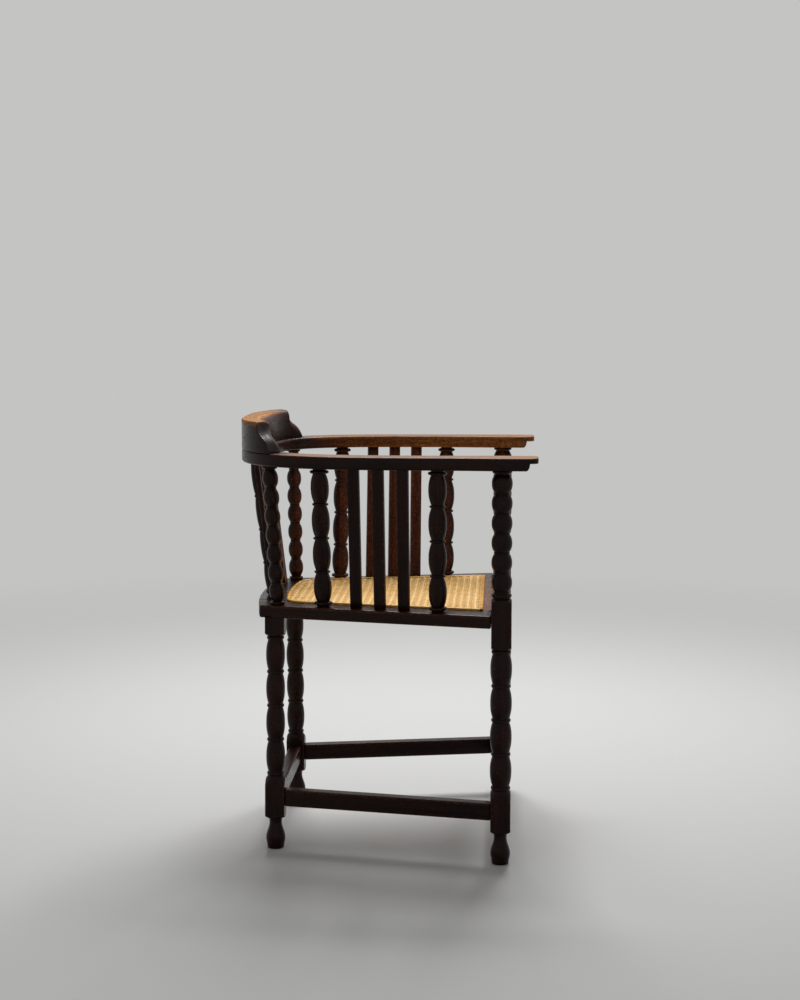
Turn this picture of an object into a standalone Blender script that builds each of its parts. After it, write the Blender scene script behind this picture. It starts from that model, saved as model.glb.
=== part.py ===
"""A captain's chair: bobbin-turned legs and posts, a flat horseshoe arm with a crest, a caned seat.

Metres, +Z up. The sitter faces -Y, so +X is the sitter's left hand. Plan positions are measured
from the line through the two front posts, +Y to the back, and one empty centres the whole chair.
Slanting members are sheared, not turned: every cross-section stays level, so each member stands
flat on the seat frame and meets the underside of the arm flat, as fitted members do.
"""
import math

import bmesh
import bpy
import numpy as np

# Seat frame
SEAT_HEIGHT = 0.435
RAIL_THICK = 0.022
RAIL_WIDTH = 0.062
FRONT_RAIL_WIDTH = 0.056
FRONT_RAIL_SETBACK = 0.004
SEAT_OVERHANG = 0.027
SEAT_BOW = 0.015

# Plan of the four legs: axes of the front posts and, at the seat, of the back legs
FRONT_HALF_WIDTH = 0.245
BACK_HALF_WIDTH = 0.150
BACK_LEG_SPLAY = 0.020
LEG_DEPTH = 0.400

# Square blocks left on the turned legs
FRONT_BLOCK = 0.035
BACK_BLOCK = 0.035
BLOCK_SHOULDER = 0.004
BLOCK_TURNING = 0.003
SEAT_BLOCK_ABOVE = 0.030
SEAT_BLOCK_BELOW = 0.060
LEG_TOP_BLOCK = 0.034
LOW_BLOCK_HEIGHT = 0.074

# Turned feet
FOOT_HEIGHT = 0.057
FOOT_PAD = 0.0120
FOOT_BULB = 0.0172
FOOT_NECK = 0.0110

# Long bobbins of the legs
LEG_BOBBINS = 4
FRONT_BOBBIN_RADIUS = 0.0183
BACK_BOBBIN_RADIUS = 0.0164
LEG_NECK_DEPTH = 0.0024
LEG_RING_DEPTH = 0.0009

# Round bobbins of the front posts above the seat
POST_BOBBINS = 6
POST_BOBBIN_RADIUS = 0.0172
POST_NOTCH = 0.0130
POST_COLLAR = 0.011

# Round bobbins of the back corner posts
CORNER_BOBBINS = 7
CORNER_BOBBIN_RADIUS = 0.0130
CORNER_NOTCH = 0.0095
CORNER_FOOT_FORWARD = 0.004
CORNER_HEAD_RUN = 0.192
CORNER_HEAD_OUT = 0.006

# Side spindles: long bobbins between small rings
SPINDLE_RING_PITCH = 0.061
SPINDLE_RADIUS = 0.0155
SPINDLE_NECK = 0.0116
SPINDLE_RING = 0.0143
END_RING = 0.0164
END_RING_HEIGHT = 0.006

# Back spindles: slimmer and straighter, their rings a little lower
BACK_SPINDLE_RADIUS = 0.0110
BACK_SPINDLE_NECK = 0.0095
BACK_SPINDLE_RING = 0.0104
BACK_END_RING = 0.0120
BACK_RING_DROP = 0.005

# Flat slats
SLAT_WIDTH = 0.0205
SLAT_THICK = 0.0085
SLAT_SHOULDER = 0.0022

# Places of the members of one side and of the back
FRONT_SPINDLE_FROM_POST = 0.110
REAR_SPINDLE_FROM_LEG = 0.087
SLAT_SPACES = 4.8
SIDE_FOOT_INSET = 0.0205
BACK_MEMBER_PITCH = 0.041
BACK_FOOT_INSET = 0.0235
BACK_HEAD_SETBACK = 0.0035
BACK_HEAD_SPREAD = 1.05
BACK_SLAT_FORWARD = 0.004

# Horseshoe arm
ARM_RISE = 0.250
ARM_THICK = 0.022
ARM_WIDTH = 0.050
ARM_FRONT_WIDTH = 0.060
ARM_WIDENING = 0.110
ARM_REACH = 0.061
ARM_OVER_POST = 0.005
ARM_EDGE = 0.003
LIP_REACH = 0.009
LIP_THICK = 0.008
TIP_ROUND = 0.012
BOW_STRAIGHT = 0.120
BOW_OVERHANG = 0.045
BOW_POWER = 3.1
BOW_JOINT_RUN = 0.150
BOW_STEP = 0.001

# Crest on the back of the horseshoe
CREST_HEIGHT = 0.054
CREST_THICK = 0.038
CREST_HALF_RUN = 0.160
CREST_END_RUN = 0.039
CREST_EDGE = 0.003
CREST_ROUND = 0.013
CREST_ROUND_LIMIT = 0.8
CREST_END_SHAPE = ((0.0, 1.0), (0.05, 0.85), (0.15, 0.67), (0.36, 0.53), (0.62, 0.44), (0.85, 0.31),
                   (1.0, 0.13))
CREST_LEVEL_SHARES = (0.17, 0.34, 0.51, 0.68, 0.85)

# Stretchers
STRETCHER_HEIGHT = 0.092
STRETCHER_DEEP = 0.030
STRETCHER_THICK = 0.022

# Caned seat
CANE_FRONT = 0.030
CANE_FRONT_BORDER = 0.049
CANE_REAR_BORDER = 0.037
CANE_BACK_BORDER = 0.049
CANE_CORNER = 0.045
CANE_THICK = 0.002
NET_PITCH = 0.0235
NET_STRAND = 0.0085
NET_RIM = 0.016
BINDER_WIDTH = 0.006
BINDER_THICK = 0.0012
BINDER_INSET = 0.005

# Joinery
FIT = 0.0003
ARM_TENON = 0.014
SEAT_TENON = 0.010
TENON_RADIUS = 0.008
LEG_TENON_RADIUS = 0.009
RAIL_TENON = 0.013
STRETCHER_TENON = 0.010
RAIL_TENON_BREADTH = 0.014
RAIL_TENON_THICK = 0.007
STRETCHER_TENON_DEEP = 0.018
STRETCHER_TENON_THICK = 0.009
DOWEL_RADIUS = 0.004
BOW_DOWEL = 0.020
BOW_DOWEL_SPREAD = 0.012
CREST_DOWEL = 0.012
CREST_DOWEL_RUNS = (0.066, 0.118)

# Smoothness of the turned pieces and of the seat's curves
LEG_SIDES = 12
SPINDLE_SIDES = 10
BACK_EDGE_POINTS = 9
RAIL_END_POINTS = 4
CORNER_POINTS = 6
SETTLING_STEPS = 12
ROOT_REACH = 0.012

# Heights and places worked out from the sizes above
SEAT_UNDERSIDE = SEAT_HEIGHT - RAIL_THICK
ARM_UNDERSIDE = SEAT_HEIGHT + ARM_RISE
ARM_TOP = ARM_UNDERSIDE + ARM_THICK
SEAT_BACK = LEG_DEPTH + SEAT_OVERHANG
FRONT_FACE = FRONT_BLOCK / 2
BACK_FACE = BACK_BLOCK / 2
FRONT_EDGE = FRONT_RAIL_SETBACK - FRONT_FACE
BOW_HALF_WIDTH = FRONT_HALF_WIDTH + ARM_OVER_POST
BOW_BACK = LEG_DEPTH + BOW_OVERHANG
LOW_BLOCK_TOP = FOOT_HEIGHT + LOW_BLOCK_HEIGHT
CENTRE_Y = (BOW_BACK + ARM_WIDTH / 2 - ARM_REACH) / 2
RAIL_SLOPE = (FRONT_HALF_WIDTH + FRONT_FACE - BACK_HALF_WIDTH - BACK_FACE) / LEG_DEPTH
RAIL_STRETCH = math.hypot(1.0, RAIL_SLOPE)
CANE_BACK = SEAT_BACK + SEAT_BOW - CANE_BACK_BORDER
CANE_SLOPE = RAIL_SLOPE - RAIL_STRETCH * (CANE_FRONT_BORDER - CANE_REAR_BORDER) / (CANE_BACK - CANE_FRONT)
CANE_STRETCH = math.hypot(1.0, CANE_SLOPE)
LEG_LEAN = BACK_LEG_SPLAY / SEAT_UNDERSIDE
LOW_HALF_WIDTH = BACK_HALF_WIDTH + BACK_LEG_SPLAY - LEG_LEAN * STRETCHER_HEIGHT
SIDES = {"right": -1.0, "left": 1.0}


def clear_scene():
    """Remove whatever the scene holds."""
    for item in list(bpy.data.objects):
        bpy.data.objects.remove(item, do_unlink=True)


def finish(name, colour, roughness):
    """A plain surface: colour, gloss, no metal."""
    material = bpy.data.materials.new(name)
    material.use_nodes = True
    shader = material.node_tree.nodes["Principled BSDF"]
    shader.inputs["Base Color"].default_value = (*colour, 1.0)
    shader.inputs["Roughness"].default_value = roughness
    shader.inputs["Metallic"].default_value = 0.0
    return material


# Shapes: each is a pair of vertex and face lists

def skin(sections):
    """A closed shape skinned over a row of equal cross-sections, with flat ends."""
    count = len(sections[0])
    points = [tuple(point) for section in sections for point in section]
    last = len(points) - count
    faces = [tuple(range(count)), tuple(range(last, last + count))]
    for start in range(0, last, count):
        for k in range(count):
            a = start + k
            b = start + (k + 1) % count
            faces.append((a, b, b + count, a + count))
    return points, faces


def prism(outline, low, high):
    """A plan outline carried from one height to another."""
    return skin([[(x, y, z) for x, y in outline] for z in (low, high)])


def box(x_range, y_range, z_range):
    """A box between three pairs of limits."""
    (x0, x1), (y0, y1) = x_range, y_range
    return prism([(x0, y0), (x1, y0), (x1, y1), (x0, y1)], *z_range)


def merged(shapes):
    """Several shapes as one pair of lists."""
    points = []
    faces = []
    for shape_points, shape_faces in shapes:
        base = len(points)
        points.extend(shape_points)
        faces.extend(tuple(base + i for i in face) for face in shape_faces)
    return points, faces


def on_axis(foot, head, z):
    """Plan point at height z on the straight axis from foot to head, both (x, y, z)."""
    share = (z - foot[2]) / (head[2] - foot[2])
    return foot[0] + share * (head[0] - foot[0]), foot[1] + share * (head[1] - foot[1])


def turned(rings, foot, head, sides):
    """A turned member: rings are (height, radius, square), square ones being blocks."""
    sections = []
    for z, radius, square in rings:
        cx, cy = on_axis(foot, head, z)
        section = []
        for k in range(sides):
            angle = (k + 0.5) * 2 * math.pi / sides
            c, s = math.cos(angle), math.sin(angle)
            reach = radius / max(abs(c), abs(s)) if square else radius
            section.append((cx + reach * c, cy + reach * s, z))
        sections.append(section)
    return skin(sections)


def flat(levels, foot, head, along):
    """A flat member: levels are (height, half width, half thickness), the width along a plan vector."""
    across = (-along[1], along[0])
    sections = []
    for z, half_width, half_thick in levels:
        cx, cy = on_axis(foot, head, z)
        section = []
        for w, t in ((-1, -1), (1, -1), (1, 1), (-1, 1)):
            x = cx + w * half_width * along[0] + t * half_thick * across[0]
            y = cy + w * half_width * along[1] + t * half_thick * across[1]
            section.append((x, y, z))
        sections.append(section)
    return skin(sections)


def lengthwise(stations, middle):
    """A level bar along Y: stations are (y, half breadth, bottom, top), middle(y) is the centre's x."""
    sections = []
    for y, half, low, high in stations:
        x = middle(y)
        sections.append([(x - half, y, low), (x + half, y, low), (x + half, y, high), (x - half, y, high)])
    return skin(sections)


def crosswise(stations, y, lean=0.0):
    """A level bar along X at one y: stations are (x, half breadth, bottom, top), ends leaning inwards."""
    sections = []
    for x, half, low, high in stations:
        shift = math.copysign(lean * (high - low) / 2, x)
        sections.append([(x + shift, y - half, low), (x + shift, y + half, low),
                         (x - shift, y + half, high), (x - shift, y - half, high)])
    return skin(sections)


# Objects

def mesh_of(name, shape):
    """A mesh with its faces turned outwards."""
    mesh = bpy.data.meshes.new(name)
    mesh.from_pydata(shape[0], [], shape[1])
    work = bmesh.new()
    work.from_mesh(mesh)
    bmesh.ops.recalc_face_normals(work, faces=work.faces)
    work.to_mesh(mesh)
    work.free()
    return mesh


def joinery(target, name, shapes, operation):
    """Cut shapes out of a piece, or grow them on it."""
    tool = bpy.data.objects.new(name, mesh_of(name, merged(shapes)))
    bpy.context.collection.objects.link(tool)
    tool.parent = target.parent
    tool.hide_render = True
    tool.display_type = 'WIRE'
    step = target.modifiers.new(operation.lower(), 'BOOLEAN')
    step.operation = operation
    step.solver = 'EXACT'
    step.object = tool


def piece(name, shape, material, tenons=(), mortises=()):
    """One named piece of the chair, with its tenons grown on and its mortises cut."""
    mesh = mesh_of(name, shape)
    mesh.materials.append(material)
    mesh.shade_smooth()
    mesh.set_sharp_from_angle(angle=math.radians(38))
    thing = bpy.data.objects.new(name, mesh)
    bpy.context.collection.objects.link(thing)
    thing.parent = CHAIR
    if tenons:
        joinery(thing, name + "_tenons", tenons, 'UNION')
    if mortises:
        joinery(thing, name + "_mortises", mortises, 'DIFFERENCE')
    return thing


# Plan of the horseshoe arm

def bow_curve():
    """Centreline of one arm, from the middle of the back to the arm's tip: run, x and y."""
    angle = np.linspace(math.pi / 2, 0.0, 400)
    x = BOW_HALF_WIDTH * np.abs(np.cos(angle)) ** (2 / BOW_POWER)
    y = BOW_STRAIGHT + (BOW_BACK - BOW_STRAIGHT) * np.sin(angle) ** (2 / BOW_POWER)
    x = np.append(x, BOW_HALF_WIDTH)
    y = np.append(y, -ARM_REACH)
    run = np.append(0.0, np.cumsum(np.hypot(np.diff(x), np.diff(y))))
    return run, x, y


BOW_RUN, BOW_X, BOW_Y = bow_curve()


def bow_point(run, outwards=0.0):
    """Plan point on the horseshoe: run is signed, 0 at the middle of the back, + on the left side."""
    side = -1.0 if run < 0 else 1.0
    near = np.clip(np.array([abs(run) - BOW_STEP, abs(run) + BOW_STEP]), 0.0, BOW_RUN[-1])
    dx, dy = np.diff(np.interp(near, BOW_RUN, BOW_X))[0], np.diff(np.interp(near, BOW_RUN, BOW_Y))[0]
    length = math.hypot(dx, dy)
    x = np.interp(abs(run), BOW_RUN, BOW_X) - outwards * dy / length
    y = np.interp(abs(run), BOW_RUN, BOW_Y) + outwards * dx / length
    return side * float(x), float(y)


def bow_direction(run):
    """Unit plan vector along the horseshoe, away from the middle of the back."""
    step = math.copysign(BOW_STEP, run)
    x0, y0 = bow_point(run - step)
    x1, y1 = bow_point(run + step)
    length = math.hypot(x1 - x0, y1 - y0)
    return (x1 - x0) / length, (y1 - y0) / length


def bow_run_at(y):
    """Run at which the centreline crosses a depth y."""
    return float(np.interp(-y, -BOW_Y, BOW_RUN))


def bow_x_at(y):
    """Half width of the centreline at depth y."""
    return float(np.interp(-y, -BOW_Y, BOW_X))


def bow_y_at(x):
    """Depth of the centreline at half width x, on its curved back."""
    return float(np.interp(abs(x), BOW_X[:400], BOW_Y[:400]))


# Plan of the seat frame

def rail_outer(y):
    """Half width of the seat frame at depth y: flush with the outer faces of the blocks."""
    return FRONT_HALF_WIDTH + FRONT_FACE - RAIL_SLOPE * y


def rail_inset(y, inset):
    """Half width at a distance in from the frame's outer edge, measured square to the side rail."""
    return rail_outer(y) - inset * RAIL_STRETCH


def seat_back_edge(x):
    """Depth of the seat frame's back edge at half width x: it bows out between the side edges."""
    return SEAT_BACK + SEAT_BOW * (1 - (x / rail_outer(SEAT_BACK)) ** 2)


def back_turn(x):
    """Angle by which the seat's back edge has turned forwards at half width x."""
    return math.atan(2 * SEAT_BOW * x / rail_outer(SEAT_BACK) ** 2)


def back_edge(start, end, count):
    """Points along the seat's back edge, from one half width to another."""
    return [(x, seat_back_edge(x)) for x in np.linspace(start, end, count).tolist()]


def back_corner(inset):
    """Half width at which a line drawn in from the side edge meets the seat's back edge."""
    x = rail_inset(SEAT_BACK, inset)
    for _ in range(SETTLING_STEPS):
        x = rail_inset(seat_back_edge(x), inset)
    return x


# Turned profiles, as rings of height, radius and squareness

def foot_rings():
    """A small pad, a bulb and a neck under the lower block."""
    shares = ((0.0, FOOT_PAD), (0.12, 0.9 * FOOT_BULB), (0.32, FOOT_BULB), (0.55, 0.88 * FOOT_BULB),
              (0.80, FOOT_NECK), (0.93, FOOT_NECK))
    return [(FOOT_HEIGHT * share, radius, False) for share, radius in shares]


def block_rings(low, high, block):
    """A square block with turned shoulders."""
    half = block / 2
    neck = half - BLOCK_TURNING
    return [(low, neck, False), (low + BLOCK_SHOULDER, half, True),
            (high - BLOCK_SHOULDER, half, True), (high, neck, False)]


def round_bobbins(low, high, count, radius, notch):
    """Barrel beads end to end, with a notch between each two."""
    pitch = (high - low) / count
    rings = []
    for i in range(count):
        base = low + i * pitch
        rings += [(base, notch, False), (base + 0.27 * pitch, radius, False),
                  (base + 0.73 * pitch, radius, False)]
    return rings + [(high, notch, False)]


def long_bobbins(heights, radius, neck, ring):
    """Long swellings with a small ring at each of the given heights."""
    rings = []
    for base, end in zip(heights, heights[1:]):
        pitch = end - base
        rings += [(base, ring, False), (base + 0.07 * pitch, neck, False),
                  (base + 0.32 * pitch, radius, False), (base + 0.68 * pitch, radius, False),
                  (base + 0.93 * pitch, neck, False)]
    return rings + [(heights[-1], ring, False)]


def leg_bobbins(low, high, radius):
    """The long bobbins of a leg, evenly spaced."""
    heights = [low + (high - low) * i / LEG_BOBBINS for i in range(LEG_BOBBINS + 1)]
    return long_bobbins(heights, radius, radius - LEG_NECK_DEPTH, radius - LEG_RING_DEPTH)


def tenon_rings(shoulder, end, radius):
    """A round tenon, listed upwards whether it points up or down."""
    rings = [(shoulder, radius, False), (end, radius, False)]
    return rings if end > shoulder else rings[::-1]


def mortise(foot, head, shoulder, end, radius, sides):
    """A round hole for a tenon: a little wider and deeper, open at the shoulder."""
    deeper = math.copysign(FIT, end - shoulder)
    low, high = sorted((shoulder - 4 * deeper, end + deeper))
    wide = (radius + FIT) / math.cos(math.pi / sides)
    return turned([(low, wide, False), (high, wide, False)], foot, head, sides)


# Legs and posts

def low_block_mortises(x, y, face, inner_sides):
    """Mortises for the stretcher tenons in the lower block of a leg that stands at (x, y)."""
    low = STRETCHER_HEIGHT - STRETCHER_TENON_DEEP / 2 - FIT
    high = STRETCHER_HEIGHT + STRETCHER_TENON_DEEP / 2 + FIT
    half = STRETCHER_TENON_THICK / 2 + FIT
    start = face - STRETCHER_TENON - 3 * FIT
    end = face + 4 * FIT
    holes = []
    for direction in inner_sides:
        if direction[0]:
            reach = sorted((x + direction[0] * start, x + direction[0] * end))
            holes.append(box(reach, (y - half, y + half), (low, high)))
        else:
            stations = [(y + direction[1] * d, half, low, high) for d in (start, end)]
            side = math.copysign(1.0, x)
            holes.append(lengthwise(stations, lambda d: side * stretcher_middle(d)))
    return holes


def stretcher_middle(y):
    """Half width of a side stretcher's centreline at depth y."""
    return FRONT_HALF_WIDTH - (FRONT_HALF_WIDTH - LOW_HALF_WIDTH) * y / LEG_DEPTH


def rail_tenon_heights(upper):
    """Bottom and top of a seat rail's tenon: the front rail's above, the side rails' below."""
    middle = SEAT_HEIGHT - RAIL_THICK / 2
    if upper:
        return middle + 2 * FIT, middle + 2 * FIT + RAIL_TENON_THICK
    return middle - 2 * FIT - RAIL_TENON_THICK, middle - 2 * FIT


def grown(limits, extra):
    """Limits widened on both sides."""
    return limits[0] - extra, limits[1] + extra


def front_rail_tenon(side):
    """Tenon of the front rail in a front post."""
    face = FRONT_HALF_WIDTH - FRONT_FACE
    reach = sorted((side * (face - ROOT_REACH), side * (face + RAIL_TENON)))
    return reach, (-RAIL_TENON_BREADTH / 2, RAIL_TENON_BREADTH / 2), rail_tenon_heights(True)


def side_rail_tenon(side):
    """Tenon of a side rail in a front post."""
    x = side * FRONT_HALF_WIDTH
    reach = (FRONT_FACE - RAIL_TENON, FRONT_FACE + ROOT_REACH)
    return (x - RAIL_TENON_BREADTH / 2, x + RAIL_TENON_BREADTH / 2), reach, rail_tenon_heights(False)


def back_rail_tenon(side):
    """Tenon of the back rail in a side rail."""
    y = SEAT_BACK - RAIL_WIDTH / 2
    face = rail_inset(y, RAIL_WIDTH)
    reach = sorted((side * (face - ROOT_REACH), side * (face + RAIL_TENON)))
    middle = SEAT_HEIGHT - RAIL_THICK / 2
    heights = (middle - RAIL_TENON_THICK / 2, middle + RAIL_TENON_THICK / 2)
    return reach, (y - RAIL_TENON_BREADTH / 2, y + RAIL_TENON_BREADTH / 2), heights


def hole_for(limits):
    """The mortise for a box-shaped tenon."""
    return box(*(grown(pair, FIT) for pair in limits))


def front_post(label, side, wood):
    """Front leg and arm post in one piece, from the floor to the arm."""
    x = side * FRONT_HALF_WIDTH
    foot, head = (x, 0.0, 0.0), (x, 0.0, ARM_UNDERSIDE)
    top = ARM_UNDERSIDE - FIT
    rings = foot_rings() + block_rings(FOOT_HEIGHT, LOW_BLOCK_TOP, FRONT_BLOCK)
    low, high = SEAT_HEIGHT - SEAT_BLOCK_BELOW, SEAT_HEIGHT + SEAT_BLOCK_ABOVE
    rings += leg_bobbins(LOW_BLOCK_TOP + FIT, low - FIT, FRONT_BOBBIN_RADIUS)
    rings += block_rings(low, high, FRONT_BLOCK)
    rings += [(high + POST_COLLAR / 2, POST_BOBBIN_RADIUS, False)]
    rings += round_bobbins(high + POST_COLLAR, top - END_RING_HEIGHT, POST_BOBBINS,
                           POST_BOBBIN_RADIUS, POST_NOTCH)
    rings += [(top - END_RING_HEIGHT / 2, POST_BOBBIN_RADIUS, False), (top, POST_BOBBIN_RADIUS, False)]
    rings += tenon_rings(top, ARM_UNDERSIDE + ARM_TENON, LEG_TENON_RADIUS)
    holes = low_block_mortises(x, 0.0, FRONT_FACE, ((-side, 0.0), (0.0, 1.0)))
    holes += [hole_for(front_rail_tenon(side)), hole_for(side_rail_tenon(side))]
    piece("front_post_" + label, turned(rings, foot, head, LEG_SIDES), wood, mortises=holes)


def back_leg_ends(side):
    """Foot and head of a back leg's axis: it splays outwards to the floor."""
    head = (side * BACK_HALF_WIDTH, LEG_DEPTH, SEAT_UNDERSIDE)
    return (side * (BACK_HALF_WIDTH + BACK_LEG_SPLAY), LEG_DEPTH, 0.0), head


def back_leg(label, side, wood):
    """Back leg, from the floor to the underside of the seat frame."""
    foot, head = back_leg_ends(side)
    top = SEAT_UNDERSIDE - FIT
    low = SEAT_UNDERSIDE - LEG_TOP_BLOCK
    rings = foot_rings() + block_rings(FOOT_HEIGHT, LOW_BLOCK_TOP, BACK_BLOCK)
    rings += leg_bobbins(LOW_BLOCK_TOP + FIT, low - FIT, BACK_BOBBIN_RADIUS)
    rings += block_rings(low, top, BACK_BLOCK)[:2]
    rings += [(top, BACK_FACE, True)]
    rings += tenon_rings(top, SEAT_UNDERSIDE + SEAT_TENON, LEG_TENON_RADIUS)
    holes = low_block_mortises(side * LOW_HALF_WIDTH, LEG_DEPTH, BACK_FACE, ((-side, 0.0), (0.0, -1.0)))
    piece("back_leg_" + label, turned(rings, foot, head, LEG_SIDES), wood, mortises=holes)


# Members between the seat frame and the arm

def corner_post_ends(side):
    """Foot and head of a back corner post."""
    x, y = bow_point(side * CORNER_HEAD_RUN, CORNER_HEAD_OUT)
    foot = (side * BACK_HALF_WIDTH, LEG_DEPTH - CORNER_FOOT_FORWARD, SEAT_HEIGHT)
    return foot, (x, y, ARM_UNDERSIDE)


def side_member_ends(side, y):
    """Foot and head of a side spindle or slat at depth y."""
    foot = (side * rail_inset(y, SIDE_FOOT_INSET), y, SEAT_HEIGHT)
    return foot, (side * bow_x_at(y), y, ARM_UNDERSIDE)


def back_member_ends(x, forward):
    """Foot and head of a back spindle or slat at half width x: it leans back to the horseshoe."""
    head_x = BACK_HEAD_SPREAD * x
    foot = (x, seat_back_edge(x) - BACK_FOOT_INSET - forward, SEAT_HEIGHT)
    return foot, (head_x, bow_y_at(head_x) + BACK_HEAD_SETBACK - forward, ARM_UNDERSIDE)


def side_places():
    """Depths of the side spindles and slats, front to back."""
    front = FRONT_SPINDLE_FROM_POST
    rear = LEG_DEPTH - REAR_SPINDLE_FROM_LEG
    pitch = (rear - front) / SLAT_SPACES
    middle = (front + rear) / 2
    return {"spindle_front": front, "slat_front": middle - pitch, "slat_middle": middle,
            "slat_rear": middle + pitch, "spindle_rear": rear}


def back_places():
    """Half widths of the back slats and spindles, right to left, evenly spaced."""
    names = ("slat_right", "spindle_right", "slat_middle", "spindle_left", "slat_left")
    middle = names.index("slat_middle")
    return {name: (i - middle) * BACK_MEMBER_PITCH for i, name in enumerate(names)}


def corner_post(label, side, wood):
    """Bobbin-turned post at a back corner."""
    foot, head = corner_post_ends(side)
    low, high = SEAT_HEIGHT + FIT, ARM_UNDERSIDE - FIT
    rings = tenon_rings(low, SEAT_HEIGHT - SEAT_TENON, TENON_RADIUS)
    rings += [(low, CORNER_BOBBIN_RADIUS, False), (low + END_RING_HEIGHT / 2, CORNER_BOBBIN_RADIUS, False)]
    rings += round_bobbins(low + END_RING_HEIGHT, high - END_RING_HEIGHT, CORNER_BOBBINS,
                           CORNER_BOBBIN_RADIUS, CORNER_NOTCH)
    rings += [(high - END_RING_HEIGHT / 2, CORNER_BOBBIN_RADIUS, False), (high, CORNER_BOBBIN_RADIUS, False)]
    rings += tenon_rings(high, ARM_UNDERSIDE + ARM_TENON, TENON_RADIUS)
    piece("corner_post_" + label, turned(rings, foot, head, SPINDLE_SIDES), wood)


def spindle(name, ends, radii, drop, wood):
    """Turned spindle: a ring at each end and long bobbins between smaller rings.

    The radii are those of the bobbins, the necks, the rings between bobbins and the end rings; the
    rings between bobbins stand a drop below the even spacing.
    """
    foot, head = ends
    bobbin, neck, ring, end_ring = radii
    low, high = SEAT_HEIGHT + FIT, ARM_UNDERSIDE - FIT
    rings = tenon_rings(low, SEAT_HEIGHT - SEAT_TENON, TENON_RADIUS)
    rings += [(low, neck, False), (low + END_RING_HEIGHT, end_ring, False)]
    middle = (low + high) / 2 - drop
    heights = [low + 2 * END_RING_HEIGHT, middle - SPINDLE_RING_PITCH, middle,
               middle + SPINDLE_RING_PITCH, high - 2 * END_RING_HEIGHT]
    rings += long_bobbins(heights, bobbin, neck, ring)[1:-1]
    rings += [(high - END_RING_HEIGHT, end_ring, False), (high, neck, False)]
    rings += tenon_rings(high, ARM_UNDERSIDE + ARM_TENON, TENON_RADIUS)
    piece(name, turned(rings, foot, head, SPINDLE_SIDES), wood)


def slat_levels():
    """Heights and half sizes of a slat: a thinner tenon at each end."""
    width, thick = SLAT_WIDTH / 2, SLAT_THICK / 2
    low, high = SEAT_HEIGHT + FIT, ARM_UNDERSIDE - FIT
    tenon = (width - SLAT_SHOULDER, thick - SLAT_SHOULDER)
    return [(SEAT_HEIGHT - SEAT_TENON, *tenon), (low, *tenon), (low, width, thick),
            (high, width, thick), (high, *tenon), (ARM_UNDERSIDE + ARM_TENON, *tenon)]


def slat_mortises(ends, along):
    """Holes for a slat's two tenons, in the seat frame and in the arm."""
    half_width = SLAT_WIDTH / 2 - SLAT_SHOULDER + FIT
    half_thick = SLAT_THICK / 2 - SLAT_SHOULDER + FIT
    low = [(SEAT_HEIGHT - SEAT_TENON - FIT, half_width, half_thick),
           (SEAT_HEIGHT + 4 * FIT, half_width, half_thick)]
    high = [(ARM_UNDERSIDE - 4 * FIT, half_width, half_thick),
            (ARM_UNDERSIDE + ARM_TENON + FIT, half_width, half_thick)]
    return flat(low, *ends, along), flat(high, *ends, along)


def round_mortises(ends):
    """Holes for a spindle's two tenons, in the seat frame and in the arm."""
    low = mortise(*ends, SEAT_HEIGHT, SEAT_HEIGHT - SEAT_TENON, TENON_RADIUS, SPINDLE_SIDES)
    high = mortise(*ends, ARM_UNDERSIDE, ARM_UNDERSIDE + ARM_TENON, TENON_RADIUS, SPINDLE_SIDES)
    return low, high


def side_members(label, side, wood):
    """Spindles and slats of one side. Gives back the holes they need in the rail and in the arm."""
    in_rail = []
    in_arm = []
    along = (-side * RAIL_SLOPE / RAIL_STRETCH, 1 / RAIL_STRETCH)
    radii = (SPINDLE_RADIUS, SPINDLE_NECK, SPINDLE_RING, END_RING)
    for place, y in side_places().items():
        ends = side_member_ends(side, y)
        name = "side_" + place + "_" + label
        if place.startswith("slat"):
            piece(name, flat(slat_levels(), *ends, along), wood)
            low, high = slat_mortises(ends, along)
        else:
            spindle(name, ends, radii, 0.0, wood)
            low, high = round_mortises(ends)
        in_rail.append(low)
        in_arm.append(high)
    corner_post(label, side, wood)
    low, high = round_mortises(corner_post_ends(side))
    return in_rail + [low], in_arm + [high]


def back_members(wood):
    """Spindles and slats of the back. Gives back the holes they need in the rail and in the bow."""
    in_rail = []
    in_bow = []
    radii = (BACK_SPINDLE_RADIUS, BACK_SPINDLE_NECK, BACK_SPINDLE_RING, BACK_END_RING)
    for place, x in back_places().items():
        if place.startswith("slat"):
            ends = back_member_ends(x, BACK_SLAT_FORWARD)
            along = (math.cos(back_turn(x)), -math.sin(back_turn(x)))
            piece("back_" + place, flat(slat_levels(), *ends, along), wood)
            low, high = slat_mortises(ends, along)
        else:
            ends = back_member_ends(x, 0.0)
            spindle("back_" + place, ends, radii, BACK_RING_DROP, wood)
            low, high = round_mortises(ends)
        in_rail.append(low)
        in_bow.append(high)
    return in_rail, in_bow


# Seat frame

def side_rail(label, side, wood, holes):
    """Side rail: butts the front post, passes over the back leg and ends at the seat's back edge."""
    front = FRONT_FACE + FIT
    outline = [(rail_inset(front, RAIL_WIDTH), front), (rail_outer(front), front)]
    outline += back_edge(rail_outer(SEAT_BACK), back_corner(RAIL_WIDTH), RAIL_END_POINTS)
    shape = prism([(side * x, y) for x, y in outline], SEAT_UNDERSIDE, SEAT_HEIGHT)
    leg_tenon_top = SEAT_UNDERSIDE + SEAT_TENON
    leg_hole = mortise(*back_leg_ends(side), SEAT_UNDERSIDE, leg_tenon_top, LEG_TENON_RADIUS, LEG_SIDES)
    holes = holes + [leg_hole]
    holes.append(hole_for(back_rail_tenon(side)))
    piece("seat_rail_" + label, shape, wood, tenons=[box(*side_rail_tenon(side))], mortises=holes)


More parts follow.
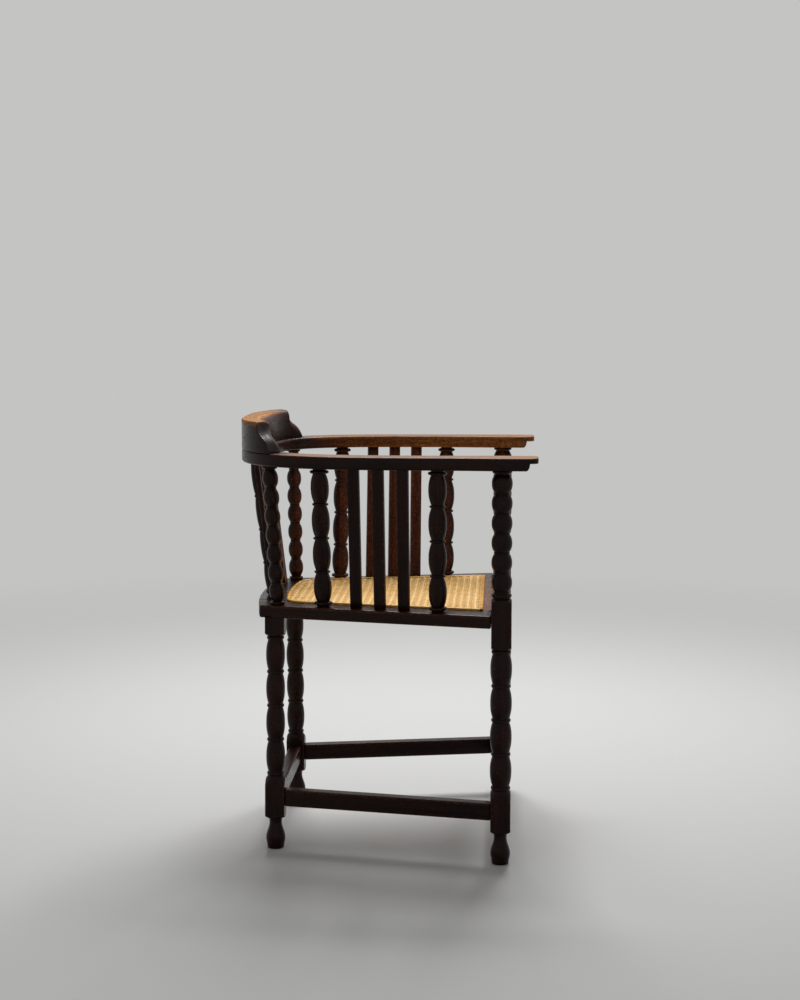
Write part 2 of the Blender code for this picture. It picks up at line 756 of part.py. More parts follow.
def front_rail(wood):
    """Front rail: between the posts, then between the side rails."""
    wide = FRONT_HALF_WIDTH - FRONT_FACE - FIT
    back = FRONT_EDGE + FRONT_RAIL_WIDTH
    half = [(wide, FRONT_EDGE), (wide, FRONT_FACE)]
    half += [(rail_inset(y, RAIL_WIDTH + FIT), y) for y in (FRONT_FACE, back)]
    outline = half + [(-x, y) for x, y in reversed(half)]
    tenons = [box(*front_rail_tenon(side)) for side in SIDES.values()]
    piece("seat_rail_front", prism(outline, SEAT_UNDERSIDE, SEAT_HEIGHT), wood, tenons=tenons)


def back_rail(wood, holes):
    """Back rail: between the side rails, its bowed back edge carrying on from their ends."""
    front = SEAT_BACK - RAIL_WIDTH
    wide, reach = rail_inset(front, RAIL_WIDTH + FIT), back_corner(RAIL_WIDTH + FIT)
    outline = [(-wide, front), (wide, front)] + back_edge(reach, -reach, BACK_EDGE_POINTS)
    tenons = [box(*back_rail_tenon(side)) for side in SIDES.values()]
    shape = prism(outline, SEAT_UNDERSIDE, SEAT_HEIGHT)
    piece("seat_rail_back", shape, wood, tenons=tenons, mortises=holes)


# Stretchers

def stretcher_stations(start, end):
    """A bar with a tenon past each end, as stations from start to end."""
    half, tenon = STRETCHER_THICK / 2, STRETCHER_TENON_THICK / 2
    low, high = STRETCHER_HEIGHT - STRETCHER_DEEP / 2, STRETCHER_HEIGHT + STRETCHER_DEEP / 2
    tenon_low = STRETCHER_HEIGHT - STRETCHER_TENON_DEEP / 2
    tenon_high = STRETCHER_HEIGHT + STRETCHER_TENON_DEEP / 2
    return [(start - STRETCHER_TENON, tenon, tenon_low, tenon_high),
            (start + FIT, tenon, tenon_low, tenon_high),
            (start + FIT, half, low, high),
            (end - FIT, half, low, high),
            (end - FIT, tenon, tenon_low, tenon_high),
            (end + STRETCHER_TENON, tenon, tenon_low, tenon_high)]


def stretchers(wood):
    """The four stretchers between the lower blocks."""
    for label, side in SIDES.items():
        stations = stretcher_stations(FRONT_FACE, LEG_DEPTH - BACK_FACE)
        piece("stretcher_" + label, lengthwise(stations, lambda y: side * stretcher_middle(y)), wood)
    reach = FRONT_HALF_WIDTH - FRONT_FACE
    piece("stretcher_front", crosswise(stretcher_stations(-reach, reach), 0.0), wood)
    reach = LOW_HALF_WIDTH - BACK_FACE
    piece("stretcher_back", crosswise(stretcher_stations(-reach, reach), LEG_DEPTH, LEG_LEAN), wood)


# Horseshoe arm and crest

def arm_section(run, half, low):
    """Cross-section of the horseshoe at a run: a board with its edges eased."""
    edge = min(ARM_EDGE, half / 2, (ARM_TOP - low) / 3)
    corners = [(-half, low + edge), (edge - half, low), (half - edge, low), (half, low + edge),
               (half, ARM_TOP - edge), (half - edge, ARM_TOP), (edge - half, ARM_TOP),
               (-half, ARM_TOP - edge)]
    return [(*bow_point(run, offset), z) for offset, z in corners]


def arm_half_width(y):
    """Half width of an arm at depth y: it widens towards the front."""
    share = min(max((ARM_WIDENING - y) / ARM_WIDENING, 0.0), 1.0)
    return (ARM_WIDTH + (ARM_FRONT_WIDTH - ARM_WIDTH) * share * share * (3 - 2 * share)) / 2


def arm_sections(side):
    """Sections of one arm, from its joint with the back to its tip with the undercut lip."""
    bend = [(run, ARM_WIDTH / 2, ARM_UNDERSIDE)
            for run in np.linspace(BOW_JOINT_RUN + FIT / 2, bow_run_at(BOW_STRAIGHT), 9)]
    widening = [(bow_run_at(y), arm_half_width(y), ARM_UNDERSIDE)
                for y in (0.75 * ARM_WIDENING, 0.5 * ARM_WIDENING, 0.25 * ARM_WIDENING, 0.0)]
    tip = BOW_RUN[-1]
    half = ARM_FRONT_WIDTH / 2
    lip = ARM_TOP - LIP_THICK
    drop = lip - ARM_UNDERSIDE
    ending = [(LIP_REACH + TIP_ROUND, half, ARM_UNDERSIDE)]
    for angle in (60, 30, 5):
        back = LIP_REACH + TIP_ROUND * (1 - math.cos(math.radians(angle)))
        ending.append((back, 0.96 * half, lip - drop * math.sin(math.radians(angle))))
    ending += [(0.95 * LIP_REACH, 0.93 * half, lip), (0.3 * LIP_REACH, 0.78 * half, lip),
               (0.0, 0.6 * half, lip)]
    stations = bend + widening + [(tip - back, width, low) for back, width, low in ending]
    return [arm_section(side * run, width, low) for run, width, low in stations]


def bow_dowel(run, offset):
    """A dowel lying along the horseshoe through an arm joint: its ends, as two plan points."""
    x, y = bow_point(run, offset)
    dx, dy = bow_direction(run)
    return (x - BOW_DOWEL * dx, y - BOW_DOWEL * dy), (x + BOW_DOWEL * dx, y + BOW_DOWEL * dy)


def level_rod(start, end, radius, longer):
    """A level round rod between two plan points at the middle of the horseshoe's thickness."""
    z = (ARM_UNDERSIDE + ARM_TOP) / 2
    length = math.dist(start, end)
    dx, dy = (end[0] - start[0]) / length, (end[1] - start[1]) / length
    sections = []
    for (x, y), push in ((start, -longer), (end, longer)):
        section = []
        for k in range(SPINDLE_SIDES):
            angle = 2 * math.pi * k / SPINDLE_SIDES
            out, up = radius * math.cos(angle), radius * math.sin(angle)
            section.append((x + push * dx - out * dy, y + push * dy + out * dx, z + up))
        sections.append(section)
    return skin(sections)


def bow_dowels(side, wood, label):
    """The two dowels of one arm joint. Gives back the holes they need."""
    holes = []
    for place, offset in (("inner", -BOW_DOWEL_SPREAD), ("outer", BOW_DOWEL_SPREAD)):
        ends = bow_dowel(side * BOW_JOINT_RUN, offset)
        piece("bow_dowel_" + place + "_" + label, level_rod(*ends, DOWEL_RADIUS, 0.0), wood)
        wide = (DOWEL_RADIUS + FIT) / math.cos(math.pi / SPINDLE_SIDES)
        holes.append(level_rod(*ends, wide, FIT))
    return holes


def crest_dowels(wood):
    """Upright dowels between the bow and the crest. Gives back the holes they need."""
    middle = (ARM_WIDTH - CREST_THICK) / 2
    runs = [-run for run in reversed(CREST_DOWEL_RUNS)] + list(CREST_DOWEL_RUNS)
    holes = []
    for number, run in enumerate(runs, start=1):
        x, y = bow_point(run, middle)
        foot, head = (x, y, ARM_TOP - CREST_DOWEL), (x, y, ARM_TOP + CREST_DOWEL)
        rod = [(foot[2], DOWEL_RADIUS, False), (head[2], DOWEL_RADIUS, False)]
        piece("crest_dowel_%d" % number, turned(rod, foot, head, SPINDLE_SIDES), wood)
        wide = (DOWEL_RADIUS + FIT) / math.cos(math.pi / SPINDLE_SIDES)
        hole = [(foot[2] - FIT, wide, False), (head[2] + FIT, wide, False)]
        holes.append(turned(hole, foot, head, SPINDLE_SIDES))
    return holes


def crest_stations():
    """Run and height of the crest: level, then a drop, a ledge and a rounded end on each side."""
    half = [(CREST_HALF_RUN * share, CREST_HEIGHT) for share in CREST_LEVEL_SHARES]
    half += [(CREST_HALF_RUN + CREST_END_RUN * share, CREST_HEIGHT * height)
             for share, height in CREST_END_SHAPE]
    return [(-run, height) for run, height in reversed(half)] + [(0.0, CREST_HEIGHT)] + half


def crest_section(run, height):
    """Cross-section of the crest: upright outer face, level top, inner edge rounded over."""
    outer = ARM_WIDTH / 2
    inner = outer - CREST_THICK
    low, top = ARM_TOP + FIT, ARM_TOP + height
    edge, worn = CREST_EDGE * height / CREST_HEIGHT, min(CREST_ROUND, CREST_ROUND_LIMIT * height)
    corners = [(outer, low), (outer, top - edge), (outer - edge, top), (inner + worn, top),
               (inner + 0.3 * worn, top - 0.3 * worn), (inner, top - worn), (inner, low)]
    return [(*bow_point(run, offset), z) for offset, z in corners]


def horseshoe(wood, dowel_wood, in_arms, in_bow):
    """Both arms, the back of the horseshoe, the crest and the dowels that join them."""
    crest_holes = crest_dowels(dowel_wood)
    for label, side in SIDES.items():
        joint_holes = bow_dowels(side, dowel_wood, label)
        x = side * FRONT_HALF_WIDTH
        post = (x, 0.0, 0.0), (x, 0.0, ARM_UNDERSIDE)
        post_hole = mortise(*post, ARM_UNDERSIDE, ARM_UNDERSIDE + ARM_TENON, LEG_TENON_RADIUS, LEG_SIDES)
        holes = in_arms[label] + [post_hole] + joint_holes
        piece("arm_" + label, skin(arm_sections(side)), wood, mortises=holes)
        in_bow = in_bow + joint_holes
    reach = BOW_JOINT_RUN - FIT / 2
    bow = [arm_section(run, ARM_WIDTH / 2, ARM_UNDERSIDE) for run in np.linspace(-reach, reach, 11)]
    piece("back_bow", skin(bow), wood, mortises=in_bow + crest_holes)
    crest = [crest_section(run, height) for run, height in crest_stations()]
    piece("crest_rail", skin(crest), wood, mortises=crest_holes)


# Caned seat

def cane_side(y, inset):
    """Half width of the caning at depth y, drawn in by a distance square to its edge."""
    front = rail_inset(CANE_FRONT, CANE_FRONT_BORDER)
    return front - CANE_SLOPE * (y - CANE_FRONT) - inset * CANE_STRETCH


def cane_outline(inset):
    """Outline of the caning, drawn in by a distance: straight front and sides, round corners, bowed back.

    Each corner is an arc that meets the side and the back edge without a kink: the loop settles the
    place x where it leaves the back edge, which turns there by an angle.
    """
    radius = CANE_CORNER - inset
    drawn_in = CANE_BACK_BORDER + inset
    x = 0.0
    for _ in range(SETTLING_STEPS):
        turn = back_turn(x)
        middle_y = seat_back_edge(x) - drawn_in - radius * math.cos(turn)
        middle_x = cane_side(middle_y, inset) - radius * CANE_STRETCH
        x = middle_x + radius * math.sin(turn)
    half = [(cane_side(CANE_FRONT + inset, inset), CANE_FRONT + inset)]
    for angle in np.linspace(math.atan(CANE_SLOPE), math.pi / 2 - turn, CORNER_POINTS):
        half.append((middle_x + radius * math.cos(angle), middle_y + radius * math.sin(angle)))
    half += [(px, py - drawn_in) for px, py in back_edge(x, 0.0, CORNER_POINTS)[1:-1]]
    return half + [(-px, py) for px, py in reversed(half)]


def inside(outline, x, y):
    """Whether a point lies within a convex outline that runs anticlockwise."""
    for (ax, ay), (bx, by) in zip(outline, outline[1:] + outline[:1]):
        if (bx - ax) * (y - ay) - (by - ay) * (x - ax) < 0:
            return False
    return True


def net_lines(low, high):
    """Edges of the strands between two limits: the net is centred and its strands are even."""
    gap = NET_PITCH - NET_STRAND
    count = int((high - low - NET_STRAND) / NET_PITCH)
    start = (low + high - count * NET_PITCH + gap) / 2
    lines = [low]
    for i in range(count):
        lines += [start + i * NET_PITCH, start + i * NET_PITCH + gap]
    return lines + [high]


def cane_panel(cane):
    """The caned panel as a flat net: square gaps inside a closed rim that lies on the rails."""
    outline = cane_outline(0.0)
    rim = cane_outline(NET_RIM)
    reach = max(x for x, y in outline) + NET_STRAND
    x_lines = [-reach] + net_lines(-max(x for x, y in rim), max(x for x, y in rim)) + [reach]
    y_lines = [outline[0][1] - NET_STRAND] + net_lines(rim[0][1], max(y for x, y in rim))
    y_lines.append(max(y for x, y in outline) + NET_STRAND)
    low = SEAT_HEIGHT + FIT
    work = bmesh.new()
    grid = [[work.verts.new((x, y, low)) for x in x_lines] for y in y_lines]
    for j in range(len(y_lines) - 1):
        for i in range(len(x_lines) - 1):
            cell = [(x_lines[i + a], y_lines[j + b]) for a, b in ((0, 0), (1, 0), (1, 1), (0, 1))]
            in_net = 1 < i < len(x_lines) - 3 and 1 < j < len(y_lines) - 3
            is_gap = in_net and i % 2 == 0 and j % 2 == 0
            if is_gap and all(inside(rim, x, y) for x, y in cell):
                continue
            work.faces.new((grid[j][i], grid[j][i + 1], grid[j + 1][i + 1], grid[j + 1][i]))
    for (ax, ay), (bx, by) in zip(outline, outline[1:] + outline[:1]):
        everything = work.verts[:] + work.edges[:] + work.faces[:]
        bmesh.ops.bisect_plane(work, geom=everything, plane_co=(ax, ay, low),
                               plane_no=(by - ay, ax - bx, 0.0), clear_outer=True)
    extruded = bmesh.ops.extrude_face_region(work, geom=work.faces[:])
    raised = [item for item in extruded["geom"] if isinstance(item, bmesh.types.BMVert)]
    bmesh.ops.translate(work, vec=(0.0, 0.0, CANE_THICK), verts=raised)
    bmesh.ops.recalc_face_normals(work, faces=work.faces)
    mesh = bpy.data.meshes.new("cane_panel")
    work.to_mesh(mesh)
    work.free()
    mesh.materials.append(cane)
    panel = bpy.data.objects.new("cane_panel", mesh)
    bpy.context.collection.objects.link(panel)
    panel.parent = CHAIR


def binder(name, path, cane):
    """A flat strip of binder cane laid along a plan path on the panel's rim."""
    low = SEAT_HEIGHT + FIT + CANE_THICK + FIT
    path = np.array(path)
    along = np.gradient(path, axis=0)
    along /= np.linalg.norm(along, axis=1)[:, None]
    across = np.stack([-along[:, 1], along[:, 0]], axis=1) * BINDER_WIDTH / 2
    sections = []
    for (x, y), (ax, ay) in zip(path.tolist(), across.tolist()):
        sections.append([(x - ax, y - ay, low), (x + ax, y + ay, low),
                         (x + 0.6 * ax, y + 0.6 * ay, low + BINDER_THICK),
                         (x - 0.6 * ax, y - 0.6 * ay, low + BINDER_THICK)])
    piece(name, skin(sections), cane)


def binders(cane):
    """Binder cane over the holes along each rail; the back strip turns round both corners."""
    outline = cane_outline(BINDER_INSET)
    half = len(outline) // 2
    front_left, front_right = outline[0], outline[-1]
    clear = BINDER_WIDTH / 2 + FIT
    binder("cane_binder_front", [front_right, (0.0, front_right[1]), front_left], cane)
    corner = outline[1:half] + outline[half:-1]
    for label, side in SIDES.items():
        end = np.array([side * corner[0][0], corner[0][1]])
        start = np.array([side * front_left[0], front_left[1]])
        along = (end - start) / np.linalg.norm(end - start)
        start = start + along * clear * (CANE_STRETCH + CANE_SLOPE)
        end = end - along * clear / 3
        binder("cane_binder_" + label, [start, (start + end) / 2, end], cane)
    binder("cane_binder_back", corner, cane)


def build():
    """The whole chair."""
    oak = finish("ebonised_oak", (0.030, 0.017, 0.011), 0.35)
    beech = finish("dowel_beech", (0.55, 0.38, 0.22), 0.6)
    cane = finish("seat_cane", (0.68, 0.42, 0.13), 0.5)
    in_arms = {}
    for label, side in SIDES.items():
        front_post(label, side, oak)
        back_leg(label, side, oak)
        in_rail, in_arms[label] = side_members(label, side, oak)
        side_rail(label, side, oak, in_rail)
    in_back_rail, in_bow = back_members(oak)
    front_rail(oak)
    back_rail(oak, in_back_rail)
    stretchers(oak)
    horseshoe(oak, beech, in_arms, in_bow)
    cane_panel(cane)
    binders(cane)


clear_scene()
CHAIR = bpy.data.objects.new("chair", None)
bpy.context.collection.objects.link(CHAIR)
CHAIR.location = (0.0, -CENTRE_Y, 0.0)
build()
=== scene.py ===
# %% [markdown]
# # A captain's chair, dressed
# The chair is oak, stained almost black and rubbed with wax: bobbin-turned legs and posts, a flat
# horseshoe arm with a crest on its back, and a hand-caned seat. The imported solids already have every
# piece in its place. They are loaded first, as a fixed frame, and each step below puts a finer surface
# where a solid stands.

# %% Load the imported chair
import math

import bpy
import numpy as np
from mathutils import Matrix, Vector


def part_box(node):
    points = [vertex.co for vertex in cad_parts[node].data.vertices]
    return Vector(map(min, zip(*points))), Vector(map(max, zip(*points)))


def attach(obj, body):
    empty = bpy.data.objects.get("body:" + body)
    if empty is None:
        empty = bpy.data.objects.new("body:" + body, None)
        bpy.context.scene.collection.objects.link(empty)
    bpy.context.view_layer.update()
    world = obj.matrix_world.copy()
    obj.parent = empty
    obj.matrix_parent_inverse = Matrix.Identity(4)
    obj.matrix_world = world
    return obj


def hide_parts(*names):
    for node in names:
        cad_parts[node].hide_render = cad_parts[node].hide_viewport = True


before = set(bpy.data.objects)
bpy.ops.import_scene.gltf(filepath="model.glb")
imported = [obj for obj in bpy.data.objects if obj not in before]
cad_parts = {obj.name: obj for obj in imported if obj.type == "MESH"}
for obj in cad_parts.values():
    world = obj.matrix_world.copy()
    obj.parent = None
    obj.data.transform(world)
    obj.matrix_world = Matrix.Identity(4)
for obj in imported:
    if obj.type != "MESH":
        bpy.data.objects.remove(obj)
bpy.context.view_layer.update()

# %% [markdown]
# ## Camera
# The chair is seen from its right side, level with the front posts and a little above the crest. The
# place, the two angles and the lens were worked out from where posts, arms and stretchers of both sides
# fall in the picture, so the camera is set by those numbers and not by eye.

# %% Camera
CAMERA_PLACE = Vector((-3.424, -0.2085, 0.976))
CAMERA_YAW = math.radians(3.20)
CAMERA_PITCH = math.radians(6.16)
CAMERA_LENS, SENSOR_HEIGHT = 67.7, 36.0

level = math.cos(CAMERA_PITCH)
aim = Vector((level * math.cos(CAMERA_YAW), level * math.sin(CAMERA_YAW), -math.sin(CAMERA_PITCH)))
camera = bpy.data.objects.new("camera", bpy.data.cameras.new("camera"))
camera.location = CAMERA_PLACE
camera.rotation_euler = aim.to_track_quat('-Z', 'Y').to_euler()
camera.data.sensor_fit = 'VERTICAL'
camera.data.sensor_height = SENSOR_HEIGHT
camera.data.lens = CAMERA_LENS
bpy.context.collection.objects.link(camera)
bpy.context.scene.camera = camera
bpy.context.scene.view_settings.view_transform = 'Standard'
print("camera at", tuple(CAMERA_PLACE), "lens", CAMERA_LENS)

# %% [markdown]
# ## Three small tools for materials
# Colours are written as hex values, as on a paint chart, and Blender's shaders want linear light, so the
# first function converts them. The second adds a node to a material: its settings, for each socket a
# value or the output of another node that it is linked to, and for a colour ramp its stops. The third
# makes an empty material.

# %% Colours and nodes
def hex_colour(text):
    """Linear colour of an sRGB hex value: each channel by the standard curve, a line below 0.04045."""
    channel = np.array([int(text[i:i + 2], 16) for i in (1, 3, 5)]) / 255.0
    linear = np.where(channel <= 0.04045, channel / 12.92, ((channel + 0.055) / 1.055) ** 2.4)
    return (*linear.tolist(), 1.0)


def add(tree, kind, sockets=None, stops=(), **settings):
    """Adds one node to a tree: settings are its properties, sockets its inputs as values or links.

    Stops are the places and hex colours of a colour ramp, in rising order. A new ramp has two.
    """
    made = tree.nodes.new(kind)
    for key, value in settings.items():
        setattr(made, key, value)
    for key, value in (sockets or {}).items():
        if isinstance(value, bpy.types.NodeSocket):
            tree.links.new(value, made.inputs[key])
        else:
            made.inputs[key].default_value = value
    for number, (position, shade) in enumerate(stops):
        ramp = made.color_ramp.elements
        stop = ramp[number] if number < len(ramp) else ramp.new(position)
        stop.position = position
        stop.color = hex_colour(shade)
    return made


def new_material(name):
    """An empty node material and its tree."""
    material = bpy.data.materials.new(name)
    material.use_nodes = True
    material.node_tree.nodes.clear()
    return material, material.node_tree


print("middle grey as linear light:", round(hex_colour("#808080")[0], 3))

# %% [markdown]
# ## Studio
# A pale matt floor and one soft box, high up on the far side. Tops of arms, rails and seat take the light,
# and the side that faces the camera stays quiet, which is how dark polished furniture keeps its outline
# readable. The surround fills the shadows with a dimmer grey than the pale backdrop that the camera and
# the polish see.

# %% Surround
SURROUND, BACKDROP = "#8e8e8e", "#c4c4c3"

world = bpy.data.worlds.new("studio")
world.use_nodes = True
tree = world.node_tree
tree.nodes.clear()
path = add(tree, "ShaderNodeLightPath")
seen = add(tree, "ShaderNodeMath",
           {0: path.outputs["Is Camera Ray"], 1: path.outputs["Is Glossy Ray"]}, operation='MAXIMUM')
seen = add(tree, "ShaderNodeMath",
           {0: seen.outputs[0], 1: path.outputs["Is Transmission Ray"]}, operation='MAXIMUM')
dim = add(tree, "ShaderNodeBackground", {"Color": hex_colour(SURROUND)})
pale = add(tree, "ShaderNodeBackground", {"Color": hex_colour(BACKDROP)})
room = add(tree, "ShaderNodeMixShader", {"Fac": seen.outputs[0], 1: dim.outputs[0], 2: pale.outputs[0]})
add(tree, "ShaderNodeOutputWorld", {"Surface": room.outputs[0]})
bpy.context.scene.world = world
print("surround", SURROUND, "and backdrop", BACKDROP)

# %% Soft box
SOFT_BOX_SIZE, SOFT_BOX_POWER = 1.3, 82.0
SOFT_BOX_PLACE, SOFT_BOX_AIM = Vector((1.42, -0.06, 2.66)), Vector((0.0, 0.0, 0.4))

soft_box = bpy.data.objects.new("soft_box", bpy.data.lights.new("soft_box", 'AREA'))
soft_box.data.shape = 'SQUARE'
soft_box.data.size = SOFT_BOX_SIZE
soft_box.data.energy = SOFT_BOX_POWER
soft_box.location = SOFT_BOX_PLACE
soft_box.rotation_euler = (SOFT_BOX_AIM - SOFT_BOX_PLACE).to_track_quat('-Z', 'Y').to_euler()
bpy.context.collection.objects.link(soft_box)
print("soft box", SOFT_BOX_SIZE, "m across,", SOFT_BOX_POWER, "W")

# %% [markdown]
# ## Floor
# The floor fades into the backdrop with distance, as a paper sweep does, so there is no horizon behind the
# chair. It is one square, and its paint turns clear from the middle outwards.

# %% Floor
FLOOR_COLOUR, FLOOR_MATT = "#cacac9", 0.9
FLOOR_REACH = 4.0
FADE_START, FADE_END = 0.9, 3.4

floor_paint, tree = new_material("floor_paint")
shader = add(tree, "ShaderNodeBsdfPrincipled",
             {"Base Color": hex_colour(FLOOR_COLOUR), "Roughness": FLOOR_MATT})
place = add(tree, "ShaderNodeTexCoord")
distance = add(tree, "ShaderNodeVectorMath", {0: place.outputs["Object"]}, operation='LENGTH')
fade = add(tree, "ShaderNodeMapRange",
           {"Value": distance.outputs["Value"], "From Min": FADE_START, "From Max": FADE_END},
           interpolation_type='SMOOTHSTEP')
clear = add(tree, "ShaderNodeBsdfTransparent")
faded = add(tree, "ShaderNodeMixShader",
            {"Fac": fade.outputs[0], 1: shader.outputs[0], 2: clear.outputs[0]})
add(tree, "ShaderNodeOutputMaterial", {"Surface": faded.outputs[0]})

corners = FLOOR_REACH * np.array([(-1.0, -1.0, 0.0), (1.0, -1.0, 0.0), (1.0, 1.0, 0.0), (-1.0, 1.0, 0.0)])
floor_mesh = bpy.data.meshes.new("floor")
floor_mesh.from_pydata(corners.tolist(), [], [(0, 1, 2, 3)])
floor_mesh.materials.append(floor_paint)
floor = bpy.data.objects.new("floor", floor_mesh)
bpy.context.collection.objects.link(floor)
print("floor", 2 * FLOOR_REACH, "m across")

# %% [markdown]
# ## Ebonised oak: grain
# Oak takes a black-brown stain well: its tannin darkens, the wide early wood drinks more than the dense
# late wood, and the long open pores stay darkest. The grain has to run along each piece, also round the
# bent arm, so every piece carries its own grain coordinates (across, across, along, in metres) and a value
# of wear and painted light, 0 for full black to 1 for bare wood, as attributes. Noise stretched along the
# grain draws the pores and the growth bands.

# %% Ebonised oak: grain
MM = 0.001
PORE_WIDTH = 1.1 * MM      # real pores are 0.3 mm wide; drawn coarser, or they would not show
PORE_LENGTH = 16 * MM
BAND_WIDTH = 7 * MM        # growth bands where the board was sawn
BAND_LENGTH = 160 * MM
PATCH = 70 * MM            # where the stain took unevenly
SCUFF = 4 * MM             # the broken edge of worn places

ebonised_oak, tree = new_material("ebonised_oak")
grain = add(tree, "ShaderNodeAttribute", attribute_name="grain")
wear_and_light = add(tree, "ShaderNodeAttribute", attribute_name="wear_and_light")
pore_space = add(tree, "ShaderNodeMapping",
                 {"Vector": grain.outputs["Vector"],
                  "Scale": (1 / PORE_WIDTH, 1 / PORE_WIDTH, 1 / PORE_LENGTH)})
pores = add(tree, "ShaderNodeTexNoise", {"Vector": pore_space.outputs[0], "Scale": 0.7, "Detail": 2.0})
pore_lines = add(tree, "ShaderNodeMapRange",
                 {"Value": pores.outputs["Fac"], "From Min": 0.50, "From Max": 0.66})
band_space = add(tree, "ShaderNodeMapping",
                 {"Vector": grain.outputs["Vector"],
                  "Scale": (1 / BAND_WIDTH, 1 / BAND_WIDTH, 1 / BAND_LENGTH)})
bands = add(tree, "ShaderNodeTexNoise",
            {"Vector": band_space.outputs[0], "Scale": 0.6, "Detail": 4.0, "Roughness": 0.6,
             "Distortion": 0.4})
patches = add(tree, "ShaderNodeTexNoise",
              {"Vector": grain.outputs["Vector"], "Scale": 1 / PATCH, "Detail": 3.0, "Roughness": 0.55})
scuffs = add(tree, "ShaderNodeTexNoise",
             {"Vector": grain.outputs["Vector"], "Scale": 1 / SCUFF, "Detail": 4.0, "Roughness": 0.65})
print("grain:", len(tree.nodes), "nodes")

# %% [markdown]
# ## Ebonised oak: stain and wear
# Sleeves and coats rub the inner sides: there the black thins first to red-brown, and on the crest and the
# arms it wears back to warm golden oak. The same value also carries painted light: the inner sides are
# painted lighter as if lit from the seat, the arm tops carry a painted sheen, and the crest's left end a
# painted shade. A fine noise is added to the value, so a worn place ends in a ragged edge and not in a
# soft fade.

# %% Ebonised oak: stain and wear
STAIN = [(0.30, "#130806"), (0.74, "#33180c")]       # each from early wood to late wood
THINNED = [(0.30, "#4a2110"), (0.72, "#7d411b")]
BARE = [(0.30, "#80501f"), (0.72, "#c48a45")]
DEEP_STAIN, PORE_STAIN = "#120a07", "#0d0705"
SCUFF_SPREAD, SCUFF_LEVEL = 1.1, -0.57
PORE_DARKNESS = 0.6

stain = add(tree, "ShaderNodeValToRGB", {"Fac": bands.outputs["Fac"]}, STAIN)
uneven = add(tree, "ShaderNodeMapRange",
             {"Value": patches.outputs["Fac"], "From Min": 0.35, "From Max": 0.72, "To Max": 0.75})
stained = add(tree, "ShaderNodeMix",
              {"Factor": uneven.outputs[0], "A": stain.outputs["Color"], "B": hex_colour(DEEP_STAIN)},
              data_type='RGBA')
thinned = add(tree, "ShaderNodeValToRGB", {"Fac": bands.outputs["Fac"]}, THINNED)
bare = add(tree, "ShaderNodeValToRGB", {"Fac": bands.outputs["Fac"]}, BARE)
ragged = add(tree, "ShaderNodeMath",
             {0: scuffs.outputs["Fac"], 1: SCUFF_SPREAD, 2: SCUFF_LEVEL}, operation='MULTIPLY_ADD')
rubbed = add(tree, "ShaderNodeMath", {0: wear_and_light.outputs["Fac"], 1: ragged.outputs[0]}, operation='ADD')
thinning = add(tree, "ShaderNodeMapRange",
               {"Value": rubbed.outputs[0], "From Min": 0.08, "From Max": 0.50})
worn_off = add(tree, "ShaderNodeMapRange",
               {"Value": rubbed.outputs[0], "From Min": 0.45, "From Max": 0.95})
red_brown = add(tree, "ShaderNodeMix",
                {"Factor": thinning.outputs[0], "A": stained.outputs["Result"],
                 "B": thinned.outputs["Color"]}, data_type='RGBA')
rubbed_oak = add(tree, "ShaderNodeMix",
                 {"Factor": worn_off.outputs[0], "A": red_brown.outputs["Result"],
                  "B": bare.outputs["Color"]}, data_type='RGBA')
pore_dark = add(tree, "ShaderNodeMath",
                {0: pore_lines.outputs[0], 1: PORE_DARKNESS}, operation='MULTIPLY')
colour = add(tree, "ShaderNodeMix",
             {"Factor": pore_dark.outputs[0], "A": rubbed_oak.outputs["Result"],
              "B": hex_colour(PORE_STAIN)}, data_type='RGBA')
print("black, red-brown and bare oak:", STAIN[0][1], THINNED[0][1], BARE[0][1])

# %% [markdown]
# ## Ebonised oak: wax
# Wax gives a soft, uneven polish. It is duller in the pores, and where the stain is worn off the wax has
# gone as well, so bare wood is matt. A bump also sets the pores a little lower than the wood beside them.

# %% Ebonised oak: wax
WAX_SHINE = 0.12           # thin old wax on open pores shines far less than varnish
OAK_IOR = 1.5
BARE_MATT, PORE_MATT = 0.40, 0.15
PORE_DEPTH = -0.5
RELIEF = 0.4 * MM

polish = add(tree, "ShaderNodeMapRange",
             {"Value": patches.outputs["Fac"], "From Min": 0.3, "From Max": 0.75,
              "To Min": 0.20, "To Max": 0.33})
dull = add(tree, "ShaderNodeMath",
           {0: worn_off.outputs[0], 1: BARE_MATT, 2: polish.outputs[0]}, operation='MULTIPLY_ADD')
matt = add(tree, "ShaderNodeMath",
           {0: pore_lines.outputs[0], 1: PORE_MATT, 2: dull.outputs[0]}, operation='MULTIPLY_ADD')
relief = add(tree, "ShaderNodeMath",
             {0: pore_lines.outputs[0], 1: PORE_DEPTH, 2: bands.outputs["Fac"]}, operation='MULTIPLY_ADD')
bump = add(tree, "ShaderNodeBump", {"Height": relief.outputs[0], "Strength": 0.25, "Distance": RELIEF})
shader = add(tree, "ShaderNodeBsdfPrincipled",
             {"Base Color": colour.outputs["Result"], "Roughness": matt.outputs[0], "IOR": OAK_IOR,
              "Specular IOR Level": WAX_SHINE, "Normal": bump.outputs[0]})
add(tree, "ShaderNodeOutputMaterial", {"Surface": shader.outputs[0]})
print("ebonised oak:", len(tree.nodes), "nodes")

# %% [markdown]
# ## Split cane
# Seat cane is the outer skin of a rattan vine, split into flat strips: straw yellow, faintly ribbed along
# its length, with a hard shine that the weaving keeps. Strips differ in tone, and each darkens where a
# leaf grew. The two attributes of the oak serve here too, and the second one is a strip's tone.

# %% Split cane
RIB_WIDTH, RIB_LENGTH = 0.6 * MM, 30 * MM            # ribs of the skin, drawn at twice their width
LEAF_WIDTH, LEAF_GAP = 25 * MM, 90 * MM
RIB_TONE, LEAF_TONE = 0.45, 0.5
STRAW = [(0.25, "#c4822c"), (0.62, "#fdc661"), (1.0, "#ffe9a6")]
CANE_ROUGHNESS, CANE_IOR, CANE_SHINE = 0.36, 1.53, 0.19
RIB_RELIEF = 0.15 * MM

